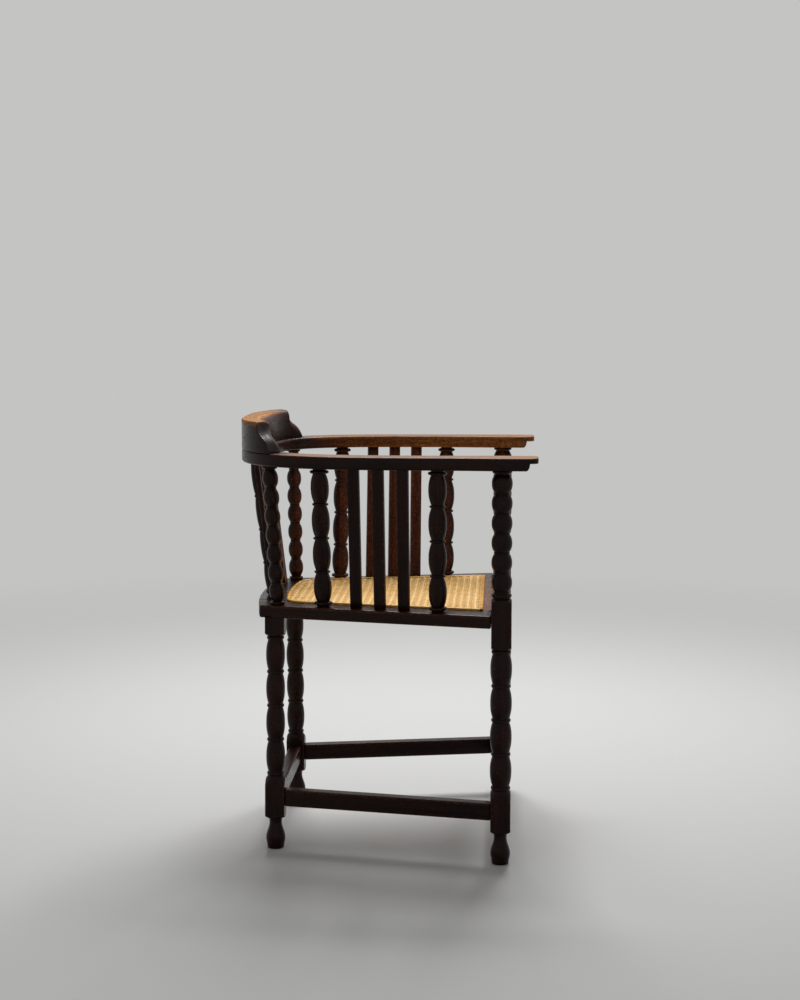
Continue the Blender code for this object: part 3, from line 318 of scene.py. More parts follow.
split_cane, tree = new_material("split_cane")
grain = add(tree, "ShaderNodeAttribute", attribute_name="grain")
tone = add(tree, "ShaderNodeAttribute", attribute_name="wear_and_light")
rib_space = add(tree, "ShaderNodeMapping",
                {"Vector": grain.outputs["Vector"],
                 "Scale": (1 / RIB_WIDTH, 1 / RIB_WIDTH, 1 / RIB_LENGTH)})
ribs = add(tree, "ShaderNodeTexNoise", {"Vector": rib_space.outputs[0], "Scale": 1.0, "Detail": 2.0})
leaf_space = add(tree, "ShaderNodeMapping",
                 {"Vector": grain.outputs["Vector"],
                  "Scale": (1 / LEAF_WIDTH, 1 / LEAF_WIDTH, 1 / LEAF_GAP)})
leaves = add(tree, "ShaderNodeTexNoise", {"Vector": leaf_space.outputs[0], "Scale": 1.0, "Detail": 3.0})
mixed = add(tree, "ShaderNodeMath",
            {0: ribs.outputs["Fac"], 1: RIB_TONE, 2: tone.outputs["Fac"]}, operation='MULTIPLY_ADD')
aged = add(tree, "ShaderNodeMath",
           {0: leaves.outputs["Fac"], 1: LEAF_TONE, 2: mixed.outputs[0]}, operation='MULTIPLY_ADD')
straw = add(tree, "ShaderNodeValToRGB", {"Fac": aged.outputs[0]}, STRAW)
bump = add(tree, "ShaderNodeBump",
           {"Height": ribs.outputs["Fac"], "Strength": 0.3, "Distance": RIB_RELIEF})
shader = add(tree, "ShaderNodeBsdfPrincipled",
             {"Base Color": straw.outputs["Color"], "Roughness": CANE_ROUGHNESS, "IOR": CANE_IOR,
              "Specular IOR Level": CANE_SHINE, "Normal": bump.outputs[0]})
add(tree, "ShaderNodeOutputMaterial", {"Surface": shader.outputs[0]})
print("split cane:", len(tree.nodes), "nodes")

# %% [markdown]
# ## Beech dowels
# The dowels inside the joints are plain beech with short brown flecks. They are carried over from the
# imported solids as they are, so their material reads Object coordinates.

# %% Beech dowels
FLECK = 2 * MM
BEECH = [(0.35, "#a67c4f"), (0.65, "#cfa877")]
BEECH_ROUGHNESS, BEECH_IOR = 0.6, 1.5

dowel_beech, tree = new_material("dowel_beech")
place = add(tree, "ShaderNodeTexCoord")
flecks = add(tree, "ShaderNodeTexNoise",
             {"Vector": place.outputs["Object"], "Scale": 1 / FLECK, "Detail": 3.0})
beech = add(tree, "ShaderNodeValToRGB", {"Fac": flecks.outputs["Fac"]}, BEECH)
shader = add(tree, "ShaderNodeBsdfPrincipled",
             {"Base Color": beech.outputs["Color"], "Roughness": BEECH_ROUGHNESS, "IOR": BEECH_IOR})
add(tree, "ShaderNodeOutputMaterial", {"Surface": shader.outputs[0]})

dowels = [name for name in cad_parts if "dowel" in name]
for name in dowels:
    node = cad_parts[name]
    node.data.materials.clear()
    node.data.materials.append(dowel_beech)
print("beech dowels:", len(dowels))

# %% [markdown]
# ## From a grid of points to a piece
# Every new piece is one or more tubes: rows of points along it, columns round it. Neighbouring rows and
# columns make four-sided faces, and one extra point at each end closes the tube with a fan. The sign of
# the enclosed volume tells whether the faces look outwards, and they are turned round if not. Each piece
# starts at another place in the grain, so no two show the same figure.

# %% Pieces from grids
FRONT_LINE = sum(corner[1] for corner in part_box("front_post_left")) / 2
GRAIN_STEP = np.array([0.37, 0.61, 0.83])
WOOD_CREASE, CANE_CREASE = 46, 80          # degrees, past which an edge stays sharp
shown = []


def tube_faces(count, rows, cols):
    """Faces of equal tubes: four-sided between rows and columns, three-sided fans at both ends."""
    row = np.arange(rows - 1)[:, None] * cols
    col = np.arange(cols)[None, :]
    following = (col + 1) % cols
    quads = np.stack([row + col, row + following, row + cols + following, row + cols + col], -1)
    col, following, last = col[0], following[0], (rows - 1) * cols
    first_end = np.stack([following, col, np.full(cols, rows * cols)], -1)
    last_end = np.stack([last + col, last + following, np.full(cols, rows * cols + 1)], -1)
    shift = np.arange(count)[:, None, None] * (rows * cols + 2)
    fans = np.concatenate([first_end, last_end])[None] + shift
    return (quads.reshape(1, -1, 4) + shift).reshape(-1, 4), fans.reshape(-1, 3)


def with_ends(values):
    """Values of a grid of tubes as one list, with the mean of each end row added for its fan."""
    count, width = len(values), values.shape[-1]
    ends = np.stack([values[:, 0].mean(1), values[:, -1].mean(1)], 1)
    return np.concatenate([values.reshape(count, -1, width), ends], 1).reshape(-1, width)


def make_piece(name, points, grain, wear_and_light, material, nodes, crease):
    """One piece from tubes x rows x columns of plan points, with its grain and its value of wear and
    painted light.

    The sum of a . (b x c) + a . (c x d) over all faces a b c d has the sign of the enclosed volume.
    """
    points, grain, wear_and_light = (np.array(a, float) for a in (points, grain, wear_and_light))
    if points.ndim == 3:
        points, grain, wear_and_light = points[None], grain[None], wear_and_light[None]
    count, rows, cols = points.shape[:3]
    quads, fans = tube_faces(count, rows, cols)
    places = with_ends(points) + (0.0, FRONT_LINE, 0.0)
    a, b, c, d = (places[quads[:, k]] for k in range(4))
    volume = np.einsum('ij,ij->', a, np.cross(b, c)) + np.einsum('ij,ij->', a, np.cross(c, d))
    if volume < 0:
        quads, fans = quads[:, ::-1], fans[:, ::-1]
    mesh = bpy.data.meshes.new(name)
    mesh.from_pydata(places.tolist(), [], quads.tolist() + fans.tolist())
    own_grain = mesh.attributes.new("grain", 'FLOAT_VECTOR', 'POINT')
    own_grain.data.foreach_set("vector", (with_ends(grain) + len(shown) * GRAIN_STEP).ravel())
    own_wear = mesh.attributes.new("wear_and_light", 'FLOAT', 'POINT')
    own_wear.data.foreach_set("value", with_ends(wear_and_light[..., None]).ravel())
    mesh.materials.append(material)
    mesh.shade_smooth()
    mesh.set_sharp_from_angle(angle=math.radians(crease))
    piece = bpy.data.objects.new(name, mesh)
    bpy.context.collection.objects.link(piece)
    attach(piece, "root")
    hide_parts(*nodes)
    shown.append((piece, 2 * len(quads) + len(fans)))


def oak_piece(how, node, points, grain, wear_and_light):
    """A piece of oak in place of one node of the frame, named for how it was made and for that node."""
    make_piece(how + "_" + node, points, grain, wear_and_light, ebonised_oak, [node], WOOD_CREASE)


def cane_piece(name, node, points, grain, tone):
    """A piece of cane in place of one node of the frame."""
    make_piece(name, points, grain, tone, split_cane, [node], CANE_CREASE)


print("front posts stand on the line y =", round(FRONT_LINE, 4))

# %% [markdown]
# ## Plan of the chair
# Depths are measured from the line of the front posts to the back. The side of the seat frame is straight
# and narrows to the back, and its back edge bows out a little. The horseshoe is a squarish half round, a
# superellipse, running on into two straight arms. A distance along it, the run, and a distance outwards
# from it place any point of the arm.

# %% Plan of the horseshoe
SIDES = {"right": -1.0, "left": 1.0}
ARM_LOW, ARM_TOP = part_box("back_bow")[0][2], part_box("back_bow")[1][2]
ARM_REACH = FRONT_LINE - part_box("arm_left")[0][1]
BOW_HALF_WIDTH, BOW_STRAIGHT, BOW_BACK, BOW_POWER = 0.250, 0.120, 0.445, 3.1
BOW_STEPS = 600
NEARBY = 2 * MM            # a point this far on each side gives the direction of the bend

angle = np.linspace(math.pi / 2, 0.0, BOW_STEPS)
bow_x = np.append(BOW_HALF_WIDTH * np.abs(np.cos(angle)) ** (2 / BOW_POWER), BOW_HALF_WIDTH)
bow_y = np.append(BOW_STRAIGHT + (BOW_BACK - BOW_STRAIGHT) * np.sin(angle) ** (2 / BOW_POWER), -ARM_REACH)
bow_run = np.append(0.0, np.cumsum(np.hypot(np.diff(bow_x), np.diff(bow_y))))


def on_bow(run, outwards):
    """Plan points of the horseshoe: the centreline at each run, moved along its outward normal."""
    run, outwards = np.broadcast_arrays(np.asarray(run, float), np.asarray(outwards, float))

    def line(at):
        return np.sign(at) * np.interp(np.abs(at), bow_run, bow_x), np.interp(np.abs(at), bow_run, bow_y)

    (x0, y0), (x1, y1) = line(run - NEARBY), line(run + NEARBY)
    length = np.hypot(x1 - x0, y1 - y0)
    x, y = line(run)
    return x - outwards * (y1 - y0) / length, y + outwards * (x1 - x0) / length


print("horseshoe: %.0f mm from the middle of the back to an arm's tip" % (bow_run[-1] / MM))

# %% Plan of the seat frame
SEAT_LOW, SEAT_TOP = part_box("seat_rail_back")[0][2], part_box("seat_rail_back")[1][2]
FRONT_HALF_WIDTH, BACK_HALF_WIDTH, LEG_DEPTH = 0.245, 0.150, 0.400
FRONT_BLOCK, BACK_BLOCK = 0.035, 0.035
SEAT_BACK, SEAT_BOW = 0.427, 0.015
FIT = 0.3 * MM             # the open line between two pieces that meet
RAIL_SLOPE = (FRONT_HALF_WIDTH + FRONT_BLOCK / 2 - BACK_HALF_WIDTH - BACK_BLOCK / 2) / LEG_DEPTH
RAIL_STRETCH = math.hypot(1.0, RAIL_SLOPE)


def rail_edge(y, inset=0.0):
    """Half width of the seat frame at depth y, less a distance in, measured square to the side rail."""
    return FRONT_HALF_WIDTH + FRONT_BLOCK / 2 - RAIL_SLOPE * y - inset * RAIL_STRETCH


def back_edge(x):
    """Depth of the seat frame's back edge at half width x: a parabola, level in the middle."""
    return SEAT_BACK + SEAT_BOW * (1 - (x / rail_edge(SEAT_BACK)) ** 2)


def back_turn(x):
    """Angle by which that edge has turned forwards at half width x: the arc tangent of its slope."""
    return math.atan(2 * SEAT_BOW * x / rail_edge(SEAT_BACK) ** 2)


widths = [2 * rail_edge(y) / MM for y in (0.0, SEAT_BACK)]
print("seat frame: %.0f mm wide at the front posts, %.0f mm at the back" % tuple(widths))

# %% [markdown]
# ## Turning
# A turner cuts beads, hollows and fillets into square stock and leaves blocks where rails join. So a
# turned piece is a function of height and angle: the distance from the axis is the turned radius at that
# height, or the square stock's own distance where that is less. Where a bead runs into a block, this
# lesser of the two draws the curved shoulder on each flat by itself, just as the lathe does. The level
# slices then slide along the straight axis from foot to head.

# %% Profiles of a turner
SHOULDER_END, SHOULDER_POWER = 1.45, 1.4   # a square's corners lie at 1.414 of half its width


def eased(keys, steps=7):
    """Heights and radii through key points: each stretch is half a cosine wave, level at the keys."""
    keys = np.array(keys, float)
    share = np.linspace(0.0, 1.0, steps)
    height = keys[:-1, :1] + np.diff(keys[:, :1], axis=0) * share
    radius = keys[:-1, 1:] + np.diff(keys[:, 1:], axis=0) * (1 - np.cos(np.pi * share)) / 2
    return np.stack([height.ravel(), radius.ravel()], 1)


def plain(low, high, radius):
    """A plain cylinder between two heights."""
    return eased([(low, radius), (high, radius)], 2)


def bead(low, high, edge, crown, steps=13):
    """A bead: radius = edge + (crown - edge) x root of (1 - u squared), u from -1 to 1."""
    u = -np.cos(np.linspace(0.0, math.pi, steps))
    radius = edge + (crown - edge) * np.sqrt(np.clip(1 - u ** 2, 0.0, 1.0))
    return np.stack([(low + high) / 2 + u * (high - low) / 2, radius], 1)


def belly(low, high, edge, crown, fullness=2.3, steps=21):
    """A swelling: radius = edge + (crown - edge) x (1 - |u| to the power of fullness), u from -1 to 1."""
    u = np.linspace(-1.0, 1.0, steps)
    radius = edge + (crown - edge) * (1 - np.abs(u) ** fullness)
    return np.stack([(low + high) / 2 + u * (high - low) / 2, radius], 1)


def shoulder(start, end, half, neck, steps=16):
    """The end of a square block: the turned line rises from a neck until it clears the corners.

    radius = neck + (1.45 x half - neck) x (1 - (1 - s) to the power of 1.4), s from 0 to 1.
    """
    s = np.linspace(0.0, 1.0, steps)
    radius = neck + (SHOULDER_END * half - neck) * (1 - (1 - s) ** SHOULDER_POWER)
    return np.stack([start + (end - start) * s, radius], 1)


print("a bead is drawn with", len(bead(0, 1, 0, 1)), "points, a swelling with", len(belly(0, 1, 0, 1)))

# %% A turned member
MIDDLE_DEPTH = LEG_DEPTH / 2
INNER_RUB_AND_LIGHT = 0.34          # clothes rub the sides that face the sitter; these sides also get painted light thrown back from the seat
NO_BLOCK = 1.0             # stock so wide that it never cuts the turned line
SAME_POINT = 1e-6
CORNER_EASE = 1.37         # corners of a block are rubbed down to this share of half its width
CORNER_FROM, CORNER_FADE, CORNER_WEAR = 1.24, 0.13, 0.22
CROWN_FROM, CROWN_FADE, CROWN_WEAR = 0.94, 0.06, 0.08


def turned(parts, blocks, foot, head, crown, sides=48):
    """Points, grain and wear of a turned member, whose slices run along the axis from foot to head.

    Reach = the lesser of the turned radius and half the stock / the larger of |cos| and |sin|. Corners of
    blocks and what stands out to the crown's radius are worn. The inner side above the seat is worn and is
    also painted lighter, as painted light thrown back from the seat.
    """
    profile = np.concatenate(parts)
    moved = np.abs(np.diff(profile, axis=0)).max(1) > SAME_POINT
    height, radius = profile[np.append(True, moved)].T
    stock = np.full(len(height), NO_BLOCK)
    for low, high, half in blocks:
        stock[(height >= low) & (height <= high)] = half
    angle = np.linspace(0.0, 2 * math.pi, sides, endpoint=False)
    c, s = np.cos(angle), np.sin(angle)
    square = np.minimum(1.0 / np.maximum(np.abs(c), np.abs(s)), CORNER_EASE)
    reach = np.minimum(radius[:, None], stock[:, None] * square)
    share = (height - foot[2]) / (head[2] - foot[2])
    local = np.stack([reach * c, reach * s, np.broadcast_to(height[:, None], reach.shape)], -1)
    points = local.copy()
    for k in (0, 1):
        points[..., k] += (foot[k] + share * (head[k] - foot[k]))[:, None]
    corners = np.clip((square - CORNER_FROM) / CORNER_FADE, 0.0, 1.0) * CORNER_WEAR
    crowns = np.clip((reach / crown - CROWN_FROM) / CROWN_FADE, 0.0, 1.0) * CROWN_WEAR
    wear_and_light = np.where(stock[:, None] < NO_BLOCK, corners, crowns)
    inward = np.array([-(foot[0] + head[0]) / 2, MIDDLE_DEPTH - (foot[1] + head[1]) / 2])
    inner = np.clip((c * inward[0] + s * inward[1]) / np.hypot(*inward), 0.0, 1.0)
    return points, local, wear_and_light + INNER_RUB_AND_LIGHT * inner * (height > SEAT_TOP)[:, None]


print("corners of a block stand out to", CORNER_EASE, "of half its width")

# %% [markdown]
# ## Front posts
# One length of oak makes the leg and the arm post: a pear foot, a block for the stretchers with a long
# shoulder on top, four long swellings parted by small rings, a block for the seat rails, then six round
# bobbins with a narrow fillet in each notch, up to the arm.

# %% Parts of a leg
FOOT_TOP, FOOT_NECK, LOW_BLOCK_TOP = 0.0525, 0.0116, 0.131
PEAR_FOOT = [(0.0, 0.0130), (0.0015, 0.0147), (0.0185, 0.0172), (0.0465, 0.0110), (FOOT_TOP, FOOT_NECK)]
LONG_SHOULDER, SHORT_SHOULDER = 0.024, 0.010
LEG_SWELLINGS = 4
LEG_RING = 0.0030          # half the height of a ring on a leg
HOLLOW = 1.5               # height of the hollow round a ring, to that of the ring
FILLET, FILLET_RISE = 1.3 * MM, 0.9 * MM


def swellings(heights, crown, neck, ring, half_ring):
    """Long swellings between the heights, tapering to a hollow at each, where one small ring stands."""
    hollow = HOLLOW * half_ring
    parts = [bead(heights[0] - half_ring, heights[0] + half_ring, neck, ring, steps=11)]
    for low, high in zip(heights, heights[1:]):
        parts.append(belly(low + hollow, high - hollow, neck, crown))
        parts.append(bead(high - half_ring, high + half_ring, neck, ring, steps=11))
    return parts


def bobbins(low, high, count, crown, notch):
    """Round bobbins end to end, with a narrow fillet standing in each notch."""
    pitch = (high - low) / count
    parts = []
    for i in range(count):
        base = low + i * pitch
        if i:
            parts.append(bead(base - FILLET, base + FILLET, notch, notch + FILLET_RISE, steps=7))
        parts.append(belly(base + FILLET, base + pitch - FILLET, notch, crown))
    return parts


def leg_parts(half, crown, neck, ring, top):
    """A leg from the floor to its upper block: pear foot, lower block, swellings, upper shoulder."""
    heights = np.linspace(LOW_BLOCK_TOP + LEG_RING, top - LEG_RING, LEG_SWELLINGS + 1)
    return [eased(PEAR_FOOT),
            shoulder(FOOT_TOP, FOOT_TOP + SHORT_SHOULDER, half, FOOT_NECK),
            shoulder(LOW_BLOCK_TOP, LOW_BLOCK_TOP - LONG_SHOULDER, half, neck)[::-1],
            *swellings(heights, crown, neck, ring, LEG_RING),
            shoulder(top, top + SHORT_SHOULDER, half, neck)]


print("pear foot: %.0f mm high, %.1f mm across" % (FOOT_TOP / MM, 2 * max(r for z, r in PEAR_FOOT) / MM))

# %% Front posts
FRONT_SEAT_BLOCK = (SEAT_TOP - 0.060, SEAT_TOP + 0.030)
FRONT_SWELLING, FRONT_NECK, FRONT_RING = 0.0187, 0.0150, 0.0170
POST_BOBBINS, POST_BOBBIN, POST_NOTCH = 6, 0.0178, 0.0130
POST_NECK, POST_RING = 0.0142, 0.0174      # over the seat block
HEAD_NECK, HEAD_RING, HEAD_PIN = 0.0140, 0.0172, 0.0135
FRONT_RUB = 0.0185         # what stands out to this radius is rubbed
HIDDEN = 1.0 * MM          # how far a member reaches into what carries it

low, high = FRONT_SEAT_BLOCK
half = FRONT_BLOCK / 2
ring_low, ring_top, bobbins_low = (high + up for up in (0.0008, 0.0085, 0.010))
bobbins_top, head_low, head_top, pin_low = (ARM_LOW - down for down in (0.0065, 0.0060, 0.0005, 0.0004))
parts = leg_parts(half, FRONT_SWELLING, FRONT_NECK, FRONT_RING, low)
parts += [shoulder(high, high - SHORT_SHOULDER, half, POST_NECK)[::-1],
          bead(ring_low, ring_top, POST_NECK, POST_RING)]
parts += bobbins(bobbins_low, bobbins_top, POST_BOBBINS, POST_BOBBIN, POST_NOTCH)
parts += [bead(head_low, head_top, HEAD_NECK, HEAD_RING, steps=9),
          plain(pin_low, ARM_LOW + HIDDEN, HEAD_PIN)]
blocks = [(FOOT_TOP, LOW_BLOCK_TOP, half), (low, high, half)]
for label, side in SIDES.items():
    x = side * FRONT_HALF_WIDTH
    shape = turned(parts, blocks, (x, 0.0, 0.0), (x, 0.0, ARM_LOW), FRONT_RUB)
    oak_piece("turned", "front_post_" + label, *shape)
print("front posts:", [faces for piece, faces in shown[-2:]], "triangles each")

# %% [markdown]
# ## Back legs and corner posts
# The back legs are turned a little slimmer and splay outwards to the floor; their top block carries the
# seat frame. Above them, the corner posts are the thinnest bobbins of the chair and lean out to the
# horseshoe.

# %% Back legs and corner posts
BACK_SPLAY = 0.020
BACK_SEAT_BLOCK = SEAT_LOW - 0.034
BACK_SWELLING, BACK_NECK, BACK_RING, BACK_RUB = 0.0168, 0.0134, 0.0153, 0.0166
CORNER_BOBBINS, CORNER_BOBBIN, CORNER_NOTCH = 7, 0.0138, 0.0090
CORNER_PIN, CORNER_RING = 0.0105, 0.0132
CORNER_FORWARD = 0.004
CORNER_HEAD_RUN, CORNER_HEAD_OUT = 0.192, 0.006
SLIM_SIDES = 40            # points round a slim member

half = BACK_BLOCK / 2
leg = leg_parts(half, BACK_SWELLING, BACK_NECK, BACK_RING, BACK_SEAT_BLOCK)
leg += [np.array([(SEAT_LOW + HIDDEN, SHOULDER_END * half)])]
blocks = [(FOOT_TOP, LOW_BLOCK_TOP, half), (BACK_SEAT_BLOCK, SEAT_TOP, half)]
ring_low, ring_top, bobbins_low = (SEAT_TOP + up for up in (0.0003, 0.0058, 0.006))
bobbins_top, head_low, head_top = (ARM_LOW - down for down in (0.006, 0.0058, 0.0003))
post = [plain(SEAT_TOP - HIDDEN, SEAT_TOP, CORNER_PIN),
        bead(ring_low, ring_top, CORNER_PIN, CORNER_RING, steps=9)]
post += bobbins(bobbins_low, bobbins_top, CORNER_BOBBINS, CORNER_BOBBIN, CORNER_NOTCH)
post += [bead(head_low, head_top, CORNER_PIN, CORNER_RING, steps=9),
         plain(ARM_LOW, ARM_LOW + HIDDEN, CORNER_PIN)]
for label, side in SIDES.items():
    x = side * BACK_HALF_WIDTH
    foot = (side * (BACK_HALF_WIDTH + BACK_SPLAY), LEG_DEPTH, 0.0)
    shape = turned(leg, blocks, foot, (x, LEG_DEPTH, SEAT_LOW), BACK_RUB)
    oak_piece("turned", "back_leg_" + label, *shape)
    head_x, head_y = on_bow(side * CORNER_HEAD_RUN, CORNER_HEAD_OUT)
    foot, head = (x, LEG_DEPTH - CORNER_FORWARD, SEAT_TOP), (float(head_x), float(head_y), ARM_LOW)
    shape = turned(post, [], foot, head, CORNER_BOBBIN, SLIM_SIDES)
    oak_piece("turned", "corner_post_" + label, *shape)
print("back legs and corner posts:", [faces for piece, faces in shown[-4:]])

# %% [markdown]
# ## Spindles
# Six spindles, two on each side and two in the back: a ring at either end, and long swellings parted by
# small rings. Those of the back are slimmer and straighter. Each stands with its slat neighbours on the
# seat frame and leans to the horseshoe.

# %% Where spindles and slats stand
FRONT_SPINDLE, REAR_SPINDLE, BACK_PITCH = 0.110, 0.313, 0.041
SIDE_INSET, BACK_INSET = 0.0205, 0.0235    # feet stand this far in from the edge of the seat frame
BACK_SPREAD, BACK_HEAD_OUT = 1.05, 0.0035  # heads of the back stand wider and a little out


def side_ends(side, y):
    """Foot on the side rail and head under the horseshoe, of a side member at depth y."""
    head_x = np.interp(-y, -bow_y, bow_x)
    return (side * rail_edge(y, SIDE_INSET), y, SEAT_TOP), (side * head_x, y, ARM_LOW)


def back_ends(x, forward):
    """Foot on the back rail and head under the horseshoe, of a back member at half width x."""
    head_x = BACK_SPREAD * x
    head_y = np.interp(abs(head_x), bow_x[:BOW_STEPS], bow_y[:BOW_STEPS]) + BACK_HEAD_OUT
    return (x, back_edge(x) - BACK_INSET - forward, SEAT_TOP), (head_x, head_y - forward, ARM_LOW)


foot, head = side_ends(SIDES["left"], REAR_SPINDLE)
print("a rear spindle leans out by %.0f mm" % ((head[0] - foot[0]) / MM))

# %% Spindles
RING_PITCH = 0.061
SMALL_RING = 0.0024        # half the height of a small ring
PIN_END = 0.0030           # this much of the pin shows beyond the ring at each end
RING_START, RING_MIDDLE, RING_END = 0.0032, 0.0064, 0.0096
SIDE_RUB, BACK_SPINDLE_RUB = 0.0156, 0.0110


def spindle_parts(crown, neck, ring, end_ring, drop):
    """A ring at each end, and four swellings between three small rings, a drop below the middle."""
    centre = (SEAT_TOP + ARM_LOW) / 2 - drop
    heights = [SEAT_TOP + RING_MIDDLE, centre - RING_PITCH, centre, centre + RING_PITCH,
               ARM_LOW - RING_MIDDLE]
    return [plain(SEAT_TOP - HIDDEN, SEAT_TOP + PIN_END, neck),
            bead(SEAT_TOP + RING_START, SEAT_TOP + RING_END, neck, end_ring),
            *swellings(heights, crown, neck, ring, SMALL_RING)[1:-1],
            bead(ARM_LOW - RING_END, ARM_LOW - RING_START, neck, end_ring),
            plain(ARM_LOW - PIN_END, ARM_LOW + HIDDEN, neck)]


side_spindle = spindle_parts(crown=0.0158, neck=0.0112, ring=0.0141, end_ring=0.0165, drop=0.0)
back_spindle = spindle_parts(crown=0.0112, neck=0.0092, ring=0.0106, end_ring=0.0121, drop=0.005)
for label, side in SIDES.items():
    for place, y in (("front", FRONT_SPINDLE), ("rear", REAR_SPINDLE)):
        shape = turned(side_spindle, [], *side_ends(side, y), SIDE_RUB, SLIM_SIDES)
        oak_piece("turned", "side_spindle_%s_%s" % (place, label), *shape)
    shape = turned(back_spindle, [], *back_ends(side * BACK_PITCH, 0.0), BACK_SPINDLE_RUB, SLIM_SIDES)
    oak_piece("turned", "back_spindle_" + label, *shape)
print("spindles:", [piece.name for piece, faces in shown[-6:]], "with", shown[-1][1], "triangles each")

# %% [markdown]
# ## Boards
# Slats, rails, stretchers, arms and crest are sawn boards with their arrises rubbed round. Their section
# is four corner arcs joined by straight runs, and each station along the board may have its own size.
# Close to a sawn end the section draws in by a small quarter round, so the ends are eased as well.

# %% Sections of a board
ARC, FLAT = 6, 5           # points on each corner arc and each straight run
ON_ARRIS = np.tile(np.append(np.ones(ARC), np.zeros(FLAT)), 4)
ON_TOP = np.concatenate([np.ones(ARC + FLAT + ARC), np.zeros(3 * FLAT + 2 * ARC)])
ON_INNER = np.roll(ON_TOP, ARC + FLAT)


def eased_section(left, right, low, high, radii):
    """Rows of cross-section points: corner arcs of the given radii, right top first, and straight runs."""
    limits = (np.atleast_1d(np.asarray(v, float)) for v in (left, right, low, high))
    left, right, low, high = np.broadcast_arrays(*limits)
    arcs = []
    for k, (u, v) in enumerate(((right, high), (left, high), (left, low), (right, low))):
        radius = np.broadcast_to(np.asarray(radii[k], float), u.shape)
        turn = k * math.pi / 2 + np.linspace(0.0, math.pi / 2, ARC)
        middle_u = u - (radius if k in (0, 3) else -radius)
        middle_v = v - (radius if k in (0, 1) else -radius)
        arcs.append(np.stack([middle_u[:, None] + radius[:, None] * np.cos(turn),
                              middle_v[:, None] + radius[:, None] * np.sin(turn)], -1))
    share = np.linspace(0.0, 1.0, FLAT + 2)[1:-1][None, :, None]
    parts = []
    for k in range(4):
        start, end = arcs[k][:, -1:], arcs[(k + 1) % 4][:, :1]
        parts += [arcs[k], start + (end - start) * share]
    return np.concatenate(parts, axis=1)


print("points round a board:", len(ON_ARRIS))

# %% Straight boards
ARRIS_WEAR = 0.14
END_STEPS = 5


def stations(length, edge, count):
    """Places along a board, and how far the section draws in at each: a quarter round at both ends."""
    curve = edge * (1 - np.cos(np.linspace(0.0, math.pi / 2, END_STEPS)))
    run = np.concatenate([curve, np.linspace(edge, length - edge, count)[1:-1], length - curve[::-1]])
    near = np.clip(np.minimum(run, length - run) / edge, 0.0, 1.0)
    return run, edge * (1 - np.sqrt(1 - (1 - near) ** 2))


def board(length, breadth, thick, edge, count):
    """A straight board: along, across and up for each point, its grain, and its wear along the arrises."""
    run, draw = stations(length, edge, count)
    wide, high = breadth / 2 - draw, thick / 2 - draw
    section = eased_section(-wide, wide, -high, high, [edge] * 4)
    along = np.broadcast_to(run[:, None], section.shape[:2])
    across, up = section[..., 0], section[..., 1]
    wear_and_light = np.broadcast_to(ARRIS_WEAR * ON_ARRIS, section.shape[:2])
    return along, across, up, np.stack([across, up, along], -1), wear_and_light


print("stations of a board of 400 mm:", len(stations(0.4, MM, 24)[0]))

# %% [markdown]
# ## Slats
# Three flat slats stand between the spindles on each side. In the back, slats and spindles take turns. All
# slats follow the edge of the rail below them and lean with their neighbours.

# %% Slats
SLAT_WIDTH, SLAT_THICK, SLAT_EDGE = 0.0205, 0.0085, 1.3 * MM
SLAT_SPACES = 4.8          # the slats stand closer to one another than to the spindles
SLAT_FORWARD = 0.004       # those of the back stand in front of its spindles
SLAT_STATIONS = 24

pitch = (REAR_SPINDLE - FRONT_SPINDLE) / SLAT_SPACES
middle_y = (REAR_SPINDLE + FRONT_SPINDLE) / 2
slat_ends = {}
for label, side in SIDES.items():
    lie = (-side * RAIL_SLOPE / RAIL_STRETCH, 1 / RAIL_STRETCH)
    for place, y in (("front", middle_y - pitch), ("middle", middle_y), ("rear", middle_y + pitch)):
        slat_ends["side_slat_%s_%s" % (place, label)] = (side_ends(side, y), lie)
for place, x in (("right", -2 * BACK_PITCH), ("middle", 0.0), ("left", 2 * BACK_PITCH)):
    lie = (math.cos(back_turn(x)), -math.sin(back_turn(x)))
    slat_ends["back_slat_" + place] = (back_ends(x, SLAT_FORWARD), lie)

tall = ARM_LOW - SEAT_TOP
along, across, up, grain, wear_and_light = board(tall + 2 * HIDDEN, SLAT_WIDTH, SLAT_THICK, SLAT_EDGE, SLAT_STATIONS)
height = along - HIDDEN
share = height / tall
for name, ((foot, head), lie) in slat_ends.items():
    points = np.stack([foot[0] + share * (head[0] - foot[0]) + across * lie[0] - up * lie[1],
                       foot[1] + share * (head[1] - foot[1]) + across * lie[1] + up * lie[0],
                       SEAT_TOP + height], -1)
    # the inner face of each slat is rubbed and also painted lighter, as painted light thrown back from the
    # seat
    inward = lie[1] * foot[0] + lie[0] * (MIDDLE_DEPTH - foot[1])
    inner = INNER_RUB_AND_LIGHT * (up * math.copysign(1.0, inward) > SLAT_THICK / 4)
    oak_piece("sawn", name, points, grain, wear_and_light + inner)
print("slats:", len(slat_ends), "with", shown[-1][1], "triangles each")

# %% [markdown]
# ## Stretchers
# Four bars tie the legs together near the floor. Shoes have rubbed their upper sides, most in front and at
# the back.

# %% Stretchers
STRETCHER_HEIGHT, STRETCHER_DEEP, STRETCHER_THICK, STRETCHER_EDGE = 0.092, 0.030, 0.022, 2.0 * MM
STRETCHER_STATIONS = 40
SIDE_SHOE_WEAR, SHOE_WEAR = 0.06, 0.10
LEAN = BACK_SPLAY / SEAT_LOW
LOW_HALF_WIDTH = BACK_HALF_WIDTH + BACK_SPLAY - LEAN * STRETCHER_HEIGHT


def bar(length):
    """A stretcher of a length, as a straight board."""
    return board(length, STRETCHER_THICK, STRETCHER_DEEP, STRETCHER_EDGE, STRETCHER_STATIONS)


